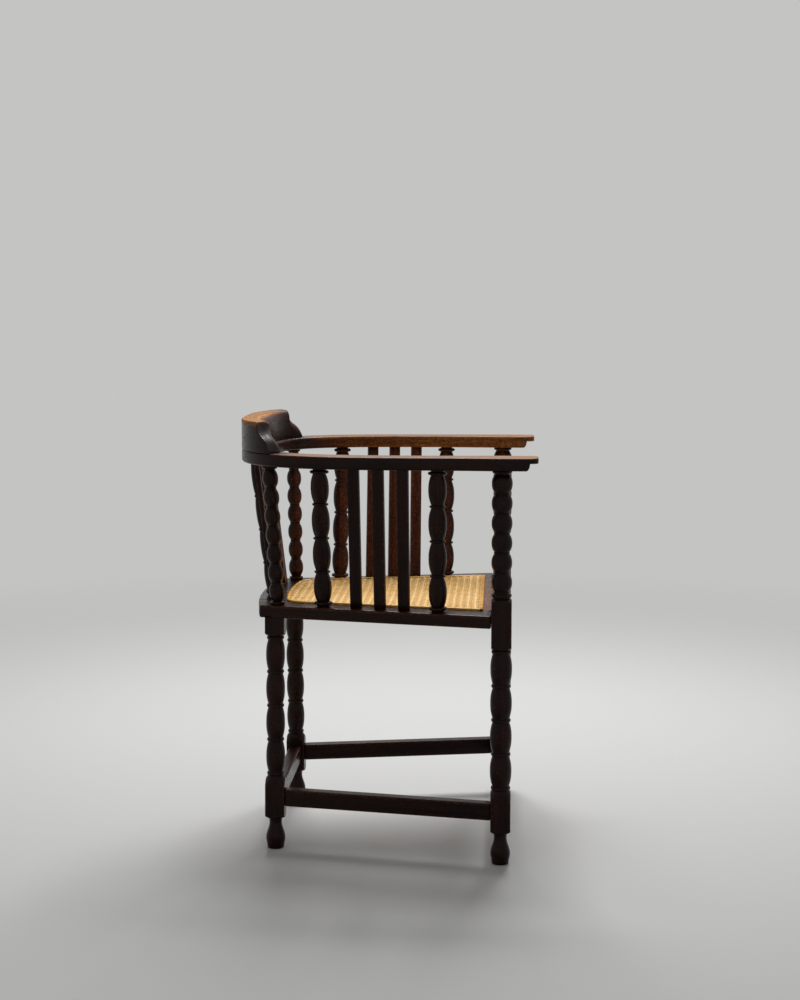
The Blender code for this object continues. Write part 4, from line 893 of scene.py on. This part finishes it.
start, end = FRONT_BLOCK / 2, LEG_DEPTH - BACK_BLOCK / 2
for label, side in SIDES.items():
    along, across, up, grain, wear_and_light = bar(end - start)
    y = start + along
    x = side * (FRONT_HALF_WIDTH - (FRONT_HALF_WIDTH - LOW_HALF_WIDTH) * y / LEG_DEPTH) + across
    oak_piece("sawn", "stretcher_" + label, np.stack([x, y, STRETCHER_HEIGHT + up], -1), grain,
              wear_and_light + SIDE_SHOE_WEAR * ON_TOP)
for place, y, reach, lean in (("front", 0.0, FRONT_HALF_WIDTH - FRONT_BLOCK / 2, 0.0),
                              ("back", LEG_DEPTH, LOW_HALF_WIDTH - BACK_BLOCK / 2, LEAN)):
    along, across, up, grain, wear_and_light = bar(2 * reach)
    x = (along - reach) * (1 - lean * up / reach)
    oak_piece("sawn", "stretcher_" + place, np.stack([x, y + across, STRETCHER_HEIGHT + up], -1), grain,
              wear_and_light + SHOE_WEAR * ON_TOP)
print("stretchers:", [piece.name for piece, faces in shown[-4:]])

# %% [markdown]
# ## Seat frame
# Two side rails run from the front posts over the back legs to the back edge, with a front rail and a back
# rail between them. Their arrises are rounded over. Where an edge of one rail depends on where another
# edge runs, a few rounds of working out the one from the other settle both.

# %% Side rails and back rail
RAIL_WIDTH, RAIL_EDGE = 0.062, 3.2 * MM
RAIL_STATIONS, ROUNDS = 48, 8
SIDE_TOP_WEAR, BACK_TOP_WEAR = 0.08, 0.05
rail_thick, rail_middle = SEAT_TOP - SEAT_LOW, (SEAT_TOP + SEAT_LOW) / 2

start = FRONT_BLOCK / 2 + FIT
along, across, up, grain, wear_and_light = board(SEAT_BACK - start, RAIL_WIDTH, rail_thick, RAIL_EDGE, RAIL_STATIONS)
inset = RAIL_WIDTH / 2 - across
end = np.full(inset.shape, SEAT_BACK)
for settle in range(ROUNDS):
    end = back_edge(rail_edge(end, inset))
y = start + along * (end - start) / (SEAT_BACK - start)
for label, side in SIDES.items():
    points = np.stack([side * rail_edge(y, inset), y, rail_middle + up], -1)
    oak_piece("sawn", "seat_rail_" + label, points, grain, wear_and_light + SIDE_TOP_WEAR * ON_TOP)

# The back rail is a board from -1 to 1, drawn out to the width between the side rails at each depth.
back_start = SEAT_BACK - RAIL_WIDTH
along, across, up, grain, wear_and_light = board(2.0, RAIL_WIDTH, rail_thick, RAIL_EDGE, RAIL_STATIONS)
y = back_start + RAIL_WIDTH / 2 + across
for settle in range(ROUNDS):
    x = (along - 1.0) * rail_edge(y, RAIL_WIDTH + FIT)
    y = back_start + (across / RAIL_WIDTH + 0.5) * (back_edge(x) - back_start)
oak_piece("sawn", "seat_rail_back", np.stack([x, y, rail_middle + up], -1),
          np.stack([across, up, x], -1), wear_and_light + BACK_TOP_WEAR * ON_TOP)
print("side rails and back rail:", [faces for piece, faces in shown[-3:]])

# %% [markdown]
# ## Front rail
# The front rail is widest between the posts. Behind them it steps in, and its ends are cut to the slant
# of the side rails. So its section is carried from side to side, and its rear edge depends on the width.

# %% Front rail
FRONT_RAIL_WIDTH, FRONT_SETBACK, FRONT_RAIL_EDGE = 0.056, 0.004, 1.5 * MM
FRONT_TOP_WEAR = 0.42      # legs rub it most
LEVEL_STATIONS, CUT_STATIONS = 18, 6

front_edge = FRONT_SETBACK - FRONT_BLOCK / 2
front_back = front_edge + FRONT_RAIL_WIDTH
wide = FRONT_HALF_WIDTH - FRONT_BLOCK / 2 - FIT
step, inner_end = (rail_edge(y, RAIL_WIDTH + FIT) for y in (FRONT_BLOCK / 2, front_back))
half = np.concatenate([np.linspace(0.0, inner_end, LEVEL_STATIONS),
                       np.linspace(inner_end, step, CUT_STATIONS)[1:],
                       np.linspace(step, wide, CUT_STATIONS)])
depth = np.concatenate([np.full(LEVEL_STATIONS, front_back),
                        np.linspace(front_back, FRONT_BLOCK / 2 + FIT, CUT_STATIONS)[1:],
                        np.full(CUT_STATIONS, FRONT_BLOCK / 2 - FIT)])
x = np.append(-half[:0:-1], half)
depth = np.append(depth[:0:-1], depth)
section = eased_section(front_edge, depth, SEAT_LOW, SEAT_TOP,
                        [FRONT_RAIL_EDGE, RAIL_EDGE, RAIL_EDGE, FRONT_RAIL_EDGE])
x = np.broadcast_to(x[:, None], section.shape[:2])
wear_and_light = np.broadcast_to(ARRIS_WEAR * ON_ARRIS + FRONT_TOP_WEAR * ON_TOP, section.shape[:2])
oak_piece("sawn", "seat_rail_front", np.stack([x, section[..., 0], section[..., 1]], -1),
          np.stack([section[..., 0], section[..., 1], x], -1), wear_and_light)
print("front rail:", shown[-1][1], "triangles")

# %% [markdown]
# ## Horseshoe arm
# Two arms and a bent back piece make one flat horseshoe. The arms widen towards the hands and end in a
# thin lip over a hollow, rounded at its corners. A board's section is carried along the bent centreline;
# the half width, the underside and the top are functions of the distance from the tip. Sleeves rub the top
# and the inner side of the arms, hands their last stretch, and the crest keeps both off the back. The
# lighter top is also a painted sheen line, and the lighter inner side also painted light thrown back from
# the seat.

# %% A stretch of the horseshoe
ARM_WIDTH, ARM_FRONT_WIDTH, ARM_WIDENING = 0.050, 0.060, 0.110
LIP_REACH, LIP_THICK, TIP_ROUND, TIP_CORNER, NOSE = 0.0145, 0.0095, 0.007, 0.013, 0.0022
ARM_EDGE, EDGES_PER_LIP = 4.0 * MM, 2.6    # a thin lip has smaller arrises
HAND_REACH, CREST_SHELTER = 0.16, 0.19
SLEEVE_FADE, ELBOW_START, ELBOW_FADE = 0.05, 0.02, 0.10
# the inner side of the arms is rubbed and also painted lighter, as painted light thrown back from the seat
SLEEVE_RUB_AND_SHEEN, HAND_RUB_AND_SHEEN, INNER_RUB_AND_LIGHT_START, ELBOW_RUB_AND_LIGHT = 0.66, 0.18, 0.16, 0.46
TOP_RUB_AND_SHEEN_ACROSS = np.concatenate([[0.0, 0.0, 0.2, 0.6, 1.0, 1.0], ON_TOP[ARC:]])    # rubbing and painted sheen across the top, less on the outer arris


def bend_round(section, runs):
    """Points and grain of a section carried along the horseshoe, each point at its own run."""
    x, y = on_bow(runs, section[..., 0])
    return np.stack([x, y, section[..., 1]], -1), np.stack([section[..., 0], section[..., 1], runs], -1)


def arm_board(run):
    """Points, grain and wear of the horseshoe at the given runs, with the widened and hollowed tip.

    The half width grows by a smooth step, 3 s squared - 2 s cubed; the tip's corners, hollow and nose are
    quarter rounds, 1 - root of (1 - s squared).
    """
    from_tip = bow_run[-1] - np.abs(run)
    depth = np.interp(np.abs(run), bow_run, bow_y)
    share = np.clip((ARM_WIDENING - depth) / ARM_WIDENING, 0.0, 1.0)
    half = (ARM_WIDTH + (ARM_FRONT_WIDTH - ARM_WIDTH) * share * share * (3 - 2 * share)) / 2
    corner = np.clip(1 - from_tip / TIP_CORNER, 0.0, 1.0)
    half = half - TIP_CORNER * (1 - np.sqrt(1 - corner ** 2))
    lip = ARM_TOP - LIP_THICK
    hollow = np.clip((LIP_REACH + TIP_ROUND - from_tip) / TIP_ROUND, 0.0, 1.0)
    low = np.where(from_tip < LIP_REACH, lip, lip - (lip - ARM_LOW) * np.sqrt(1 - hollow ** 2))
    nose = NOSE * (1 - np.sqrt(1 - np.clip(1 - from_tip / NOSE, 0.0, 1.0) ** 2))
    edge = np.minimum(ARM_EDGE, (ARM_TOP - low - 2 * nose) / EDGES_PER_LIP)
    section = eased_section(-half, half, low + nose, ARM_TOP - nose, [edge] * 4)
    past_crest = np.abs(run) - CREST_SHELTER
    hands = np.clip(1 - from_tip / HAND_REACH, 0.0, 1.0)[:, None]
    past_crest_rub_and_sheen = np.clip(past_crest / SLEEVE_FADE, 0.0, 1.0)[:, None]
    past_crest_rub_and_light = np.clip((past_crest - ELBOW_START) / ELBOW_FADE, 0.0, 1.0)[:, None]
    # the top gets rubbing and a painted sheen line, the inner side rubbing and painted light from the seat
    wear_and_light = np.maximum(TOP_RUB_AND_SHEEN_ACROSS * past_crest_rub_and_sheen * (SLEEVE_RUB_AND_SHEEN + HAND_RUB_AND_SHEEN * hands),
                      ON_INNER * (INNER_RUB_AND_LIGHT_START + ELBOW_RUB_AND_LIGHT * past_crest_rub_and_light))
    return *bend_round(section, np.broadcast_to(run[:, None], section.shape[:2])), wear_and_light


print("lip: %.1f mm long, %.1f mm thick" % (LIP_REACH / MM, LIP_THICK / MM))

# %% Arms and back piece
JOINT_RUN = 0.150          # where the arms meet the back piece
TIP_START, TIP_NEXT, NOSE_START = 0.030, 0.029, 0.8
HAIR = 0.0001              # rows this close on both sides of the lip's start make its root sharp
ARM_ROWS, TIP_ROWS, LIP_ROWS, NOSE_ROWS, BOW_ROWS = 70, 22, 7, 6, 61

tip = bow_run[-1]
runs = np.concatenate([np.linspace(JOINT_RUN + FIT / 2, tip - TIP_START, ARM_ROWS),
                       tip - np.linspace(TIP_NEXT, LIP_REACH + HAIR, TIP_ROWS),
                       tip - np.linspace(LIP_REACH - HAIR, NOSE, LIP_ROWS),
                       tip - NOSE * np.linspace(NOSE_START, 0.0, NOSE_ROWS)])
for label, side in SIDES.items():
    oak_piece("shaped", "arm_" + label, *arm_board(side * runs))
reach = JOINT_RUN - FIT / 2
oak_piece("shaped", "back_bow", *arm_board(np.linspace(-reach, reach, BOW_ROWS)))
print("horseshoe:", [(piece.name, faces) for piece, faces in shown[-3:]])

# %% [markdown]
# ## Crest
# A thick board, sawn to the bend of the back, stands on the horseshoe: upright outside, level on top, its
# inner arris rubbed well over by sitters' backs. At each end it drops steeply, runs out in a ledge and
# rounds down to the arm. A smooth curve through a few points of run and height gives that end, and the
# run grows from the inner to the outer side, because the end is sawn askew.

# %% Shape of the crest
CREST_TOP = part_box("crest_rail")[1][2]
CREST_THICK, CREST_HALF_RUN, CREST_END_RUN = 0.038, 0.160, 0.039
CREST_EDGE, CREST_ROUND, CREST_FOOT_EDGE = 3.0 * MM, 13.0 * MM, 0.5 * MM
ROUND_SHARE = 0.8          # the rubbed arris takes at most this share of the height
CREST_END = [(0.0, 0.98), (0.03, 0.86), (0.13, 0.71), (0.37, 0.57),      # shares of run and height
             (0.66, 0.45), (0.89, 0.31), (1.0, 0.12)]
CREST_SKEW = 0.021         # each end's outer corner stands this much further along the bend
LEVEL_END, LEVEL_ROWS = CREST_HALF_RUN - 0.0015, 40


def smooth_line(keys, steps=7):
    """A smooth line through key points: the cubic of each stretch takes its slopes from the neighbours."""
    p = np.array(keys, float)
    p = np.concatenate([2 * p[:1] - p[1:2], p, 2 * p[-1:] - p[-2:-1]])
    a, b, c, d = (v[:, None] for v in (p[:-3], p[1:-2], p[2:-1], p[3:]))
    t = np.linspace(0.0, 1.0, steps)[None, :-1, None]
    line = b + 0.5 * t * ((c - a) + t * (2 * a - 5 * b + 4 * c - d + t * (3 * b - 3 * c + d - a)))
    return np.concatenate([line.reshape(-1, p.shape[1]), p[-2:-1]])


ending = smooth_line(CREST_END)
half_run = np.append(np.linspace(0.0, LEVEL_END, LEVEL_ROWS),
                     CREST_HALF_RUN + CREST_END_RUN * ending[:, 0])
half_height = (CREST_TOP - ARM_TOP) * np.append(np.ones(LEVEL_ROWS), ending[:, 1])
run = np.append(-half_run[:0:-1], half_run)
height = np.append(half_height[:0:-1], half_height)
full = height / (CREST_TOP - ARM_TOP)
outer = ARM_WIDTH / 2
section = eased_section(outer - CREST_THICK, outer, ARM_TOP + FIT, ARM_TOP + height,
                        [CREST_EDGE * full, np.minimum(CREST_ROUND, ROUND_SHARE * height),
                         CREST_FOOT_EDGE, CREST_FOOT_EDGE])
past_level = np.clip((np.abs(run) - CREST_HALF_RUN) / CREST_END_RUN, 0.0, 1.0)
skew = CREST_SKEW * np.clip(np.abs(run) / CREST_HALF_RUN, 0.0, 1.0) ** 3 * (1 - past_level / 2)
outwards = (section[..., 0] - outer + CREST_THICK) / CREST_THICK
print("crest: %.0f mm high, %d rows" % ((CREST_TOP - ARM_TOP) / MM, len(run)))

# %% Crest
ACROSS_TOP = np.concatenate([np.ones(ARC + FLAT), [1.0, 1.0, 0.8, 0.3, 0.0, 0.0],
                             np.zeros(3 * FLAT + 2 * ARC)])
LEVEL_FROM, LEVEL_FADE = 0.90, 0.08        # only the level part is rubbed
PAINTED_SHADE_FROM, PAINTED_SHADE_FADE, RUB_UNDER_PAINTED_SHADE = 0.17, 0.07, 0.1    # painted shade: the top is painted darker towards its left end
CREST_ARRIS_WEAR, CREST_TOP_WEAR, CREST_INNER_WEAR = 0.08, 0.92, 0.10

rub_and_shade = np.clip((full - LEVEL_FROM) / LEVEL_FADE, 0.0, 1.0)
# the left end of the top is painted darker, as painted shade, by rubbing it less
rub_and_shade = rub_and_shade * np.clip((PAINTED_SHADE_FROM - run) / PAINTED_SHADE_FADE, RUB_UNDER_PAINTED_SHADE, 1.0)
wear_and_light = CREST_ARRIS_WEAR * ON_ARRIS + CREST_TOP_WEAR * ACROSS_TOP * rub_and_shade[:, None]
wear_and_light = wear_and_light + CREST_INNER_WEAR * ON_INNER
runs = run[:, None] + (np.sign(run) * skew)[:, None] * outwards
oak_piece("shaped", "crest_rail", *bend_round(section, runs), wear_and_light)
print("crest:", shown[-1][1], "triangles")

# %% [markdown]
# ## Caned seat
# Hand caning has six layers: two strands front to back and two side to side for every hole in the frame,
# then one strand along each diagonal. The straight ones pass over and under one another in turn; a
# diagonal dives under one pair and rides over the next. All strands of a layer are made at once: straight
# lines cut off at the edge of the caning, with a wave for the weaving and a slight sag in the middle.

# %% Outline of the caning
CANE_FRONT, CANE_FRONT_BORDER, CANE_REAR_BORDER = 0.030, 0.049, 0.037
CANE_BACK_BORDER, CANE_CORNER = 0.049, 0.045
CANE_DEPTH = SEAT_BACK + SEAT_BOW - CANE_BACK_BORDER - CANE_FRONT
CANE_SLOPE = RAIL_SLOPE - RAIL_STRETCH * (CANE_FRONT_BORDER - CANE_REAR_BORDER) / CANE_DEPTH
CANE_STRETCH = math.hypot(1.0, CANE_SLOPE)
CORNER_ROUNDS = 12
STRAND_INSET = 4.0 * MM


def cane_side(y, inset=0.0):
    """Half width of the caning at depth y, less a distance in, measured square to its edge."""
    return rail_edge(CANE_FRONT, CANE_FRONT_BORDER) - CANE_SLOPE * (y - CANE_FRONT) - inset * CANE_STRETCH


def cane_outline(inset, steps=11):
    """Plan outline of the caning drawn in by a distance: straight sides, round corners, bowed back.

    The loop settles where a corner arc leaves the back edge, so that it meets both edges without a kink.
    """
    radius = CANE_CORNER - inset
    x = 0.0
    for settle in range(CORNER_ROUNDS):
        turn = back_turn(x)
        middle_y = back_edge(x) - CANE_BACK_BORDER - inset - radius * math.cos(turn)
        middle_x = cane_side(middle_y, inset) - radius * CANE_STRETCH
        x = middle_x + radius * math.sin(turn)
    sweep = np.linspace(math.atan(CANE_SLOPE), math.pi / 2 - turn, steps)
    along_back = np.linspace(x, 0.0, steps)[1:-1]
    front = [(cane_side(CANE_FRONT + inset, inset), CANE_FRONT + inset)]
    corner = np.stack([middle_x + radius * np.cos(sweep), middle_y + radius * np.sin(sweep)], 1)
    back = np.stack([along_back, back_edge(along_back) - CANE_BACK_BORDER - inset], 1)
    half = np.concatenate([front, corner, back])
    return np.concatenate([half, half[::-1] * (-1.0, 1.0)])


outline = cane_outline(STRAND_INSET)
print("caning: %.0f mm wide in front, %.0f mm deep" % (2 * outline[0, 0] / MM, np.ptp(outline[:, 1]) / MM))

# %% Strands of one layer
HOLE_PITCH = 12.7 * MM
STRAND_THICK = 0.9 * MM
SAG = 4.0 * MM
CANE_LEVEL = SEAT_TOP + 1.75 * MM
SHORTEST = 0.012           # shorter strands in a corner are left out
PARALLEL, FAR = 1e-9, 9.0  # an edge this nearly parallel is never crossed, and no line reaches this far
STRIP_ACROSS = np.array([-0.5, -0.26, 0.26, 0.5, 0.0])     # a flat oval, rounded on top
STRIP_UP = np.array([-0.15, 0.5, 0.5, -0.15, -0.5])
GRAIN_APART, GRAIN_REACH, TONE_RANGE = 0.05, 9.0, 0.34
rng = np.random.default_rng(7)


def lines_inside(origins, direction):
    """Where parallel lines enter and leave the caning: the last entry and the first exit of its edges."""
    edge = np.roll(outline, -1, axis=0) - outline
    normal = np.stack([edge[:, 1], -edge[:, 0]], 1)
    speed = normal @ direction
    level = np.abs(speed) < PARALLEL
    gap = ((outline[None] - origins[:, None]) * normal[None]).sum(-1)
    at = gap / np.where(level, 1.0, speed)[None]
    enter = np.where((speed < 0) & ~level, at, -FAR).max(1)
    leave = np.where((speed > 0) & ~level, at, FAR).min(1)
    blocked = (level & (gap < 0)).any(1)
    return enter, leave, (leave - enter > SHORTEST) & ~blocked


def strands(name, origins, direction, width, rows, wave):
    """One layer: a flat oval section along each clipped line, lifted by its wave and lowered by the sag.

    Sag = (1 - u squared) x (1 - v squared), with u and v from -1 to 1 across the caning and along it.
    """
    direction = np.array(direction, float) / np.linalg.norm(direction)
    enter, leave, inside = lines_inside(origins, direction)
    number = np.flatnonzero(inside)
    origins, enter, leave = origins[inside], enter[inside], leave[inside]
    along = enter[:, None] + (leave - enter)[:, None] * np.linspace(0.0, 1.0, rows)
    x = origins[:, :1] + along * direction[0]
    y = origins[:, 1:] + along * direction[1]
    middle_y = (outline[:, 1].min() + outline[:, 1].max()) / 2
    sag = np.clip(1 - (x / cane_side(y)) ** 2, 0.0, 1.0)
    sag = sag * np.clip(1 - ((y - middle_y) / (np.ptp(outline[:, 1]) / 2)) ** 2, 0.0, 1.0)
    z = CANE_LEVEL + wave(x, y, number[:, None]) - SAG * sag
    across, up = STRIP_ACROSS * width, STRIP_UP * STRAND_THICK
    points = np.stack([x[..., None] - across * direction[1], y[..., None] + across * direction[0],
                       z[..., None] + up], -1)
    lengthways = along[..., None] + rng.uniform(0.0, GRAIN_REACH, len(along))[:, None, None]
    grain = np.stack(np.broadcast_arrays(across, up + GRAIN_APART * number[:, None, None], lengthways), -1)
    tone = rng.uniform(0.0, TONE_RANGE, len(along))[:, None, None] * np.ones(points.shape[:3])
    cane_piece(name, "cane_panel", points, grain, tone)


print("seat cane sags by %.0f mm, holes are %.1f mm apart" % (SAG / MM, HOLE_PITCH / MM))

# %% Six layers of cane
PAIR_GAP = 1.75 * MM       # half the distance between the two strands of a pair
WEAVE, DIVE = 0.5 * MM, 1.05 * MM
STRAIGHT_WIDTH, DIAGONAL_WIDTH = 2.3 * MM, 2.4 * MM
LENGTH_ROWS, CROSS_ROWS, DIAGONAL_ROWS = 170, 205, 130
COLUMNS, ROWS, DIAGONALS = 20, 32, 60      # more than enough: lines outside the caning are left out

column = HOLE_PITCH * np.arange(-COLUMNS, COLUMNS + 1)
row = CANE_FRONT + HOLE_PITCH * np.arange(0.5, ROWS)
diagonal = HOLE_PITCH * np.arange(-DIAGONALS, DIAGONALS + 1)
column_strands = np.sort(np.concatenate([column - PAIR_GAP, column + PAIR_GAP]))
row_strands = np.sort(np.concatenate([row - PAIR_GAP, row + PAIR_GAP]))


def over_under(at, crossed, number):
    """A wave, up at one crossed strand and down at the next: cosine of pi x (strands passed + number)."""
    return np.cos(np.pi * (np.interp(at, crossed, np.arange(len(crossed))) + number))


strands("cane_front_to_back", np.stack([column_strands, np.zeros_like(column_strands)], 1), (0.0, 1.0),
        STRAIGHT_WIDTH, LENGTH_ROWS, lambda x, y, number: WEAVE * over_under(y, row_strands, number))
strands("cane_side_to_side", np.stack([np.zeros_like(row_strands), row_strands], 1), (1.0, 0.0),
        STRAIGHT_WIDTH, CROSS_ROWS, lambda x, y, number: -WEAVE * over_under(x, column_strands, number))
starts = np.stack([diagonal, np.full(len(diagonal), CANE_FRONT)], 1)
strands("cane_diagonal_right", starts, (1.0, 1.0), DIAGONAL_WIDTH, DIAGONAL_ROWS,
        lambda x, y, number: -DIVE * np.cos(2 * np.pi * x / HOLE_PITCH))
strands("cane_diagonal_left", starts, (-1.0, 1.0), DIAGONAL_WIDTH, DIAGONAL_ROWS,
        lambda x, y, number: DIVE * np.cos(2 * np.pi * x / HOLE_PITCH))
print("caning:", [(piece.name, faces) for piece, faces in shown[-4:]])

# %% [markdown]
# ## Binder cane
# A wider strip of cane covers the holes along each rail, its outer edge bent down to the wood. Small loops
# of fine cane come up through every second hole and hold it down.

# %% Binder cane
BINDER_WIDTH, BINDER_INSET, BINDER_STEP = 6.0 * MM, 5.0 * MM, 4.0 * MM
BINDER_LOW, BINDER_TOP = SEAT_TOP + 2.4 * MM, SEAT_TOP + 3.9 * MM
FEWEST = 3                 # points on the shortest strip
BINDER_ACROSS = BINDER_WIDTH * np.array([0.5, 0.44, 0.2, -0.2, -0.42, -0.5, -0.44, 0.42])
BINDER_RISE = np.array([0.35, 0.75, 1.0, 1.0, 0.6, -0.5, -1.3, 0.0])    # from the inner edge to the outer
BINDER_TONES = {"front": -0.12, "back": 0.12, "right": 0.12, "left": 0.12}     # darkest in front


def spaced(path, step):
    """Points at even steps along a plan path, and the unit direction at each."""
    path = np.array(path, float)
    run = np.append(0.0, np.cumsum(np.hypot(*np.diff(path, axis=0).T)))
    at = np.linspace(0.0, run[-1], max(int(run[-1] / step), FEWEST))
    point = np.stack([np.interp(at, run, path[:, k]) for k in (0, 1)], 1)
    heading = np.gradient(point, axis=0)
    return at, point, heading / np.linalg.norm(heading, axis=1)[:, None]


rim = cane_outline(BINDER_INSET)
room_for_edge = BINDER_WIDTH / 2 + FIT     # the side strips stop short of the two others
paths = {"front": rim[[-1, 0]], "back": rim[1:-1]}
for label, side in SIDES.items():
    start, end = rim[0] * (side, 1.0), rim[1] * (side, 1.0)
    heading = (end - start) / np.linalg.norm(end - start)
    paths[label] = np.stack([start + heading * room_for_edge * (CANE_STRETCH + CANE_SLOPE),
                             end - heading * room_for_edge / 3])
paths["right"] = paths["right"][::-1]
up = BINDER_LOW + BINDER_RISE * (BINDER_TOP - BINDER_LOW)
for label, path in paths.items():
    at, point, heading = spaced(path, BINDER_STEP)
    points = np.stack([point[:, :1] - BINDER_ACROSS * heading[:, 1:],
                       point[:, 1:] + BINDER_ACROSS * heading[:, :1],
                       np.broadcast_to(up, (len(at), len(up)))], -1)
    grain = np.stack(np.broadcast_arrays(BINDER_ACROSS, up, at[:, None]), -1)
    tone = np.full(points.shape[:2], BINDER_TONES[label])
    cane_piece("cane_binder_strip_" + label, "cane_binder_" + label, points, grain, tone)
print("binder:", [faces for piece, faces in shown[-4:]])

# %% Loops over the binder
LOOP_WIDTH, LOOP_THICK, LOOP_POWER, LOOP_STEPS = 2.2 * MM, 0.7 * MM, 5, 7
LOOP_FOOT, LOOP_CROWN = SEAT_TOP + 1.2 * MM, BINDER_TOP + 0.35 * MM
LOOP_PAST_EDGE = 0.8 * MM
LOOP_TONE_RANGE = 0.2

loop_points, loop_headings = [], []
for path in paths.values():
    at, point, heading = spaced(path, 2 * HOLE_PITCH)
    loop_points.append((point[:-1] + point[1:]) / 2)
    loop_headings.append(heading[:-1])
point, heading = np.concatenate(loop_points), np.concatenate(loop_headings)
sweep = np.linspace(-1.0, 1.0, LOOP_STEPS)
reach = sweep * (BINDER_WIDTH / 2 + LOOP_PAST_EDGE)
lift = LOOP_FOOT + (LOOP_CROWN - LOOP_FOOT) * (1 - np.abs(sweep) ** LOOP_POWER)
side_step = np.array([-0.5, -0.5, 0.5, 0.5]) * LOOP_WIDTH
rise = np.array([-0.5, 0.5, 0.5, -0.5]) * LOOP_THICK
x = point[:, :1, None] - reach[:, None] * heading[:, 1:, None] + side_step * heading[:, :1, None]
y = point[:, 1:, None] + reach[:, None] * heading[:, :1, None] + side_step * heading[:, 1:, None]
z = np.broadcast_to(lift[:, None] + rise, x.shape)
lengthways = reach[:, None] + np.arange(len(point))[:, None, None]
grain = np.stack(np.broadcast_arrays(side_step, rise, lengthways), -1)
tone = rng.uniform(0.0, LOOP_TONE_RANGE, len(point))[:, None, None] * np.ones(x.shape)
cane_piece("cane_binder_loops", "cane_binder_front", np.stack([x, y, z], -1), grain, tone)
print("loops:", len(point))

# %% [markdown]
# ## Triangles
# The last line counts the new pieces and their triangles.

# %% Triangles
print("triangles:", sum(faces for piece, faces in shown), "in", len(shown), "pieces")
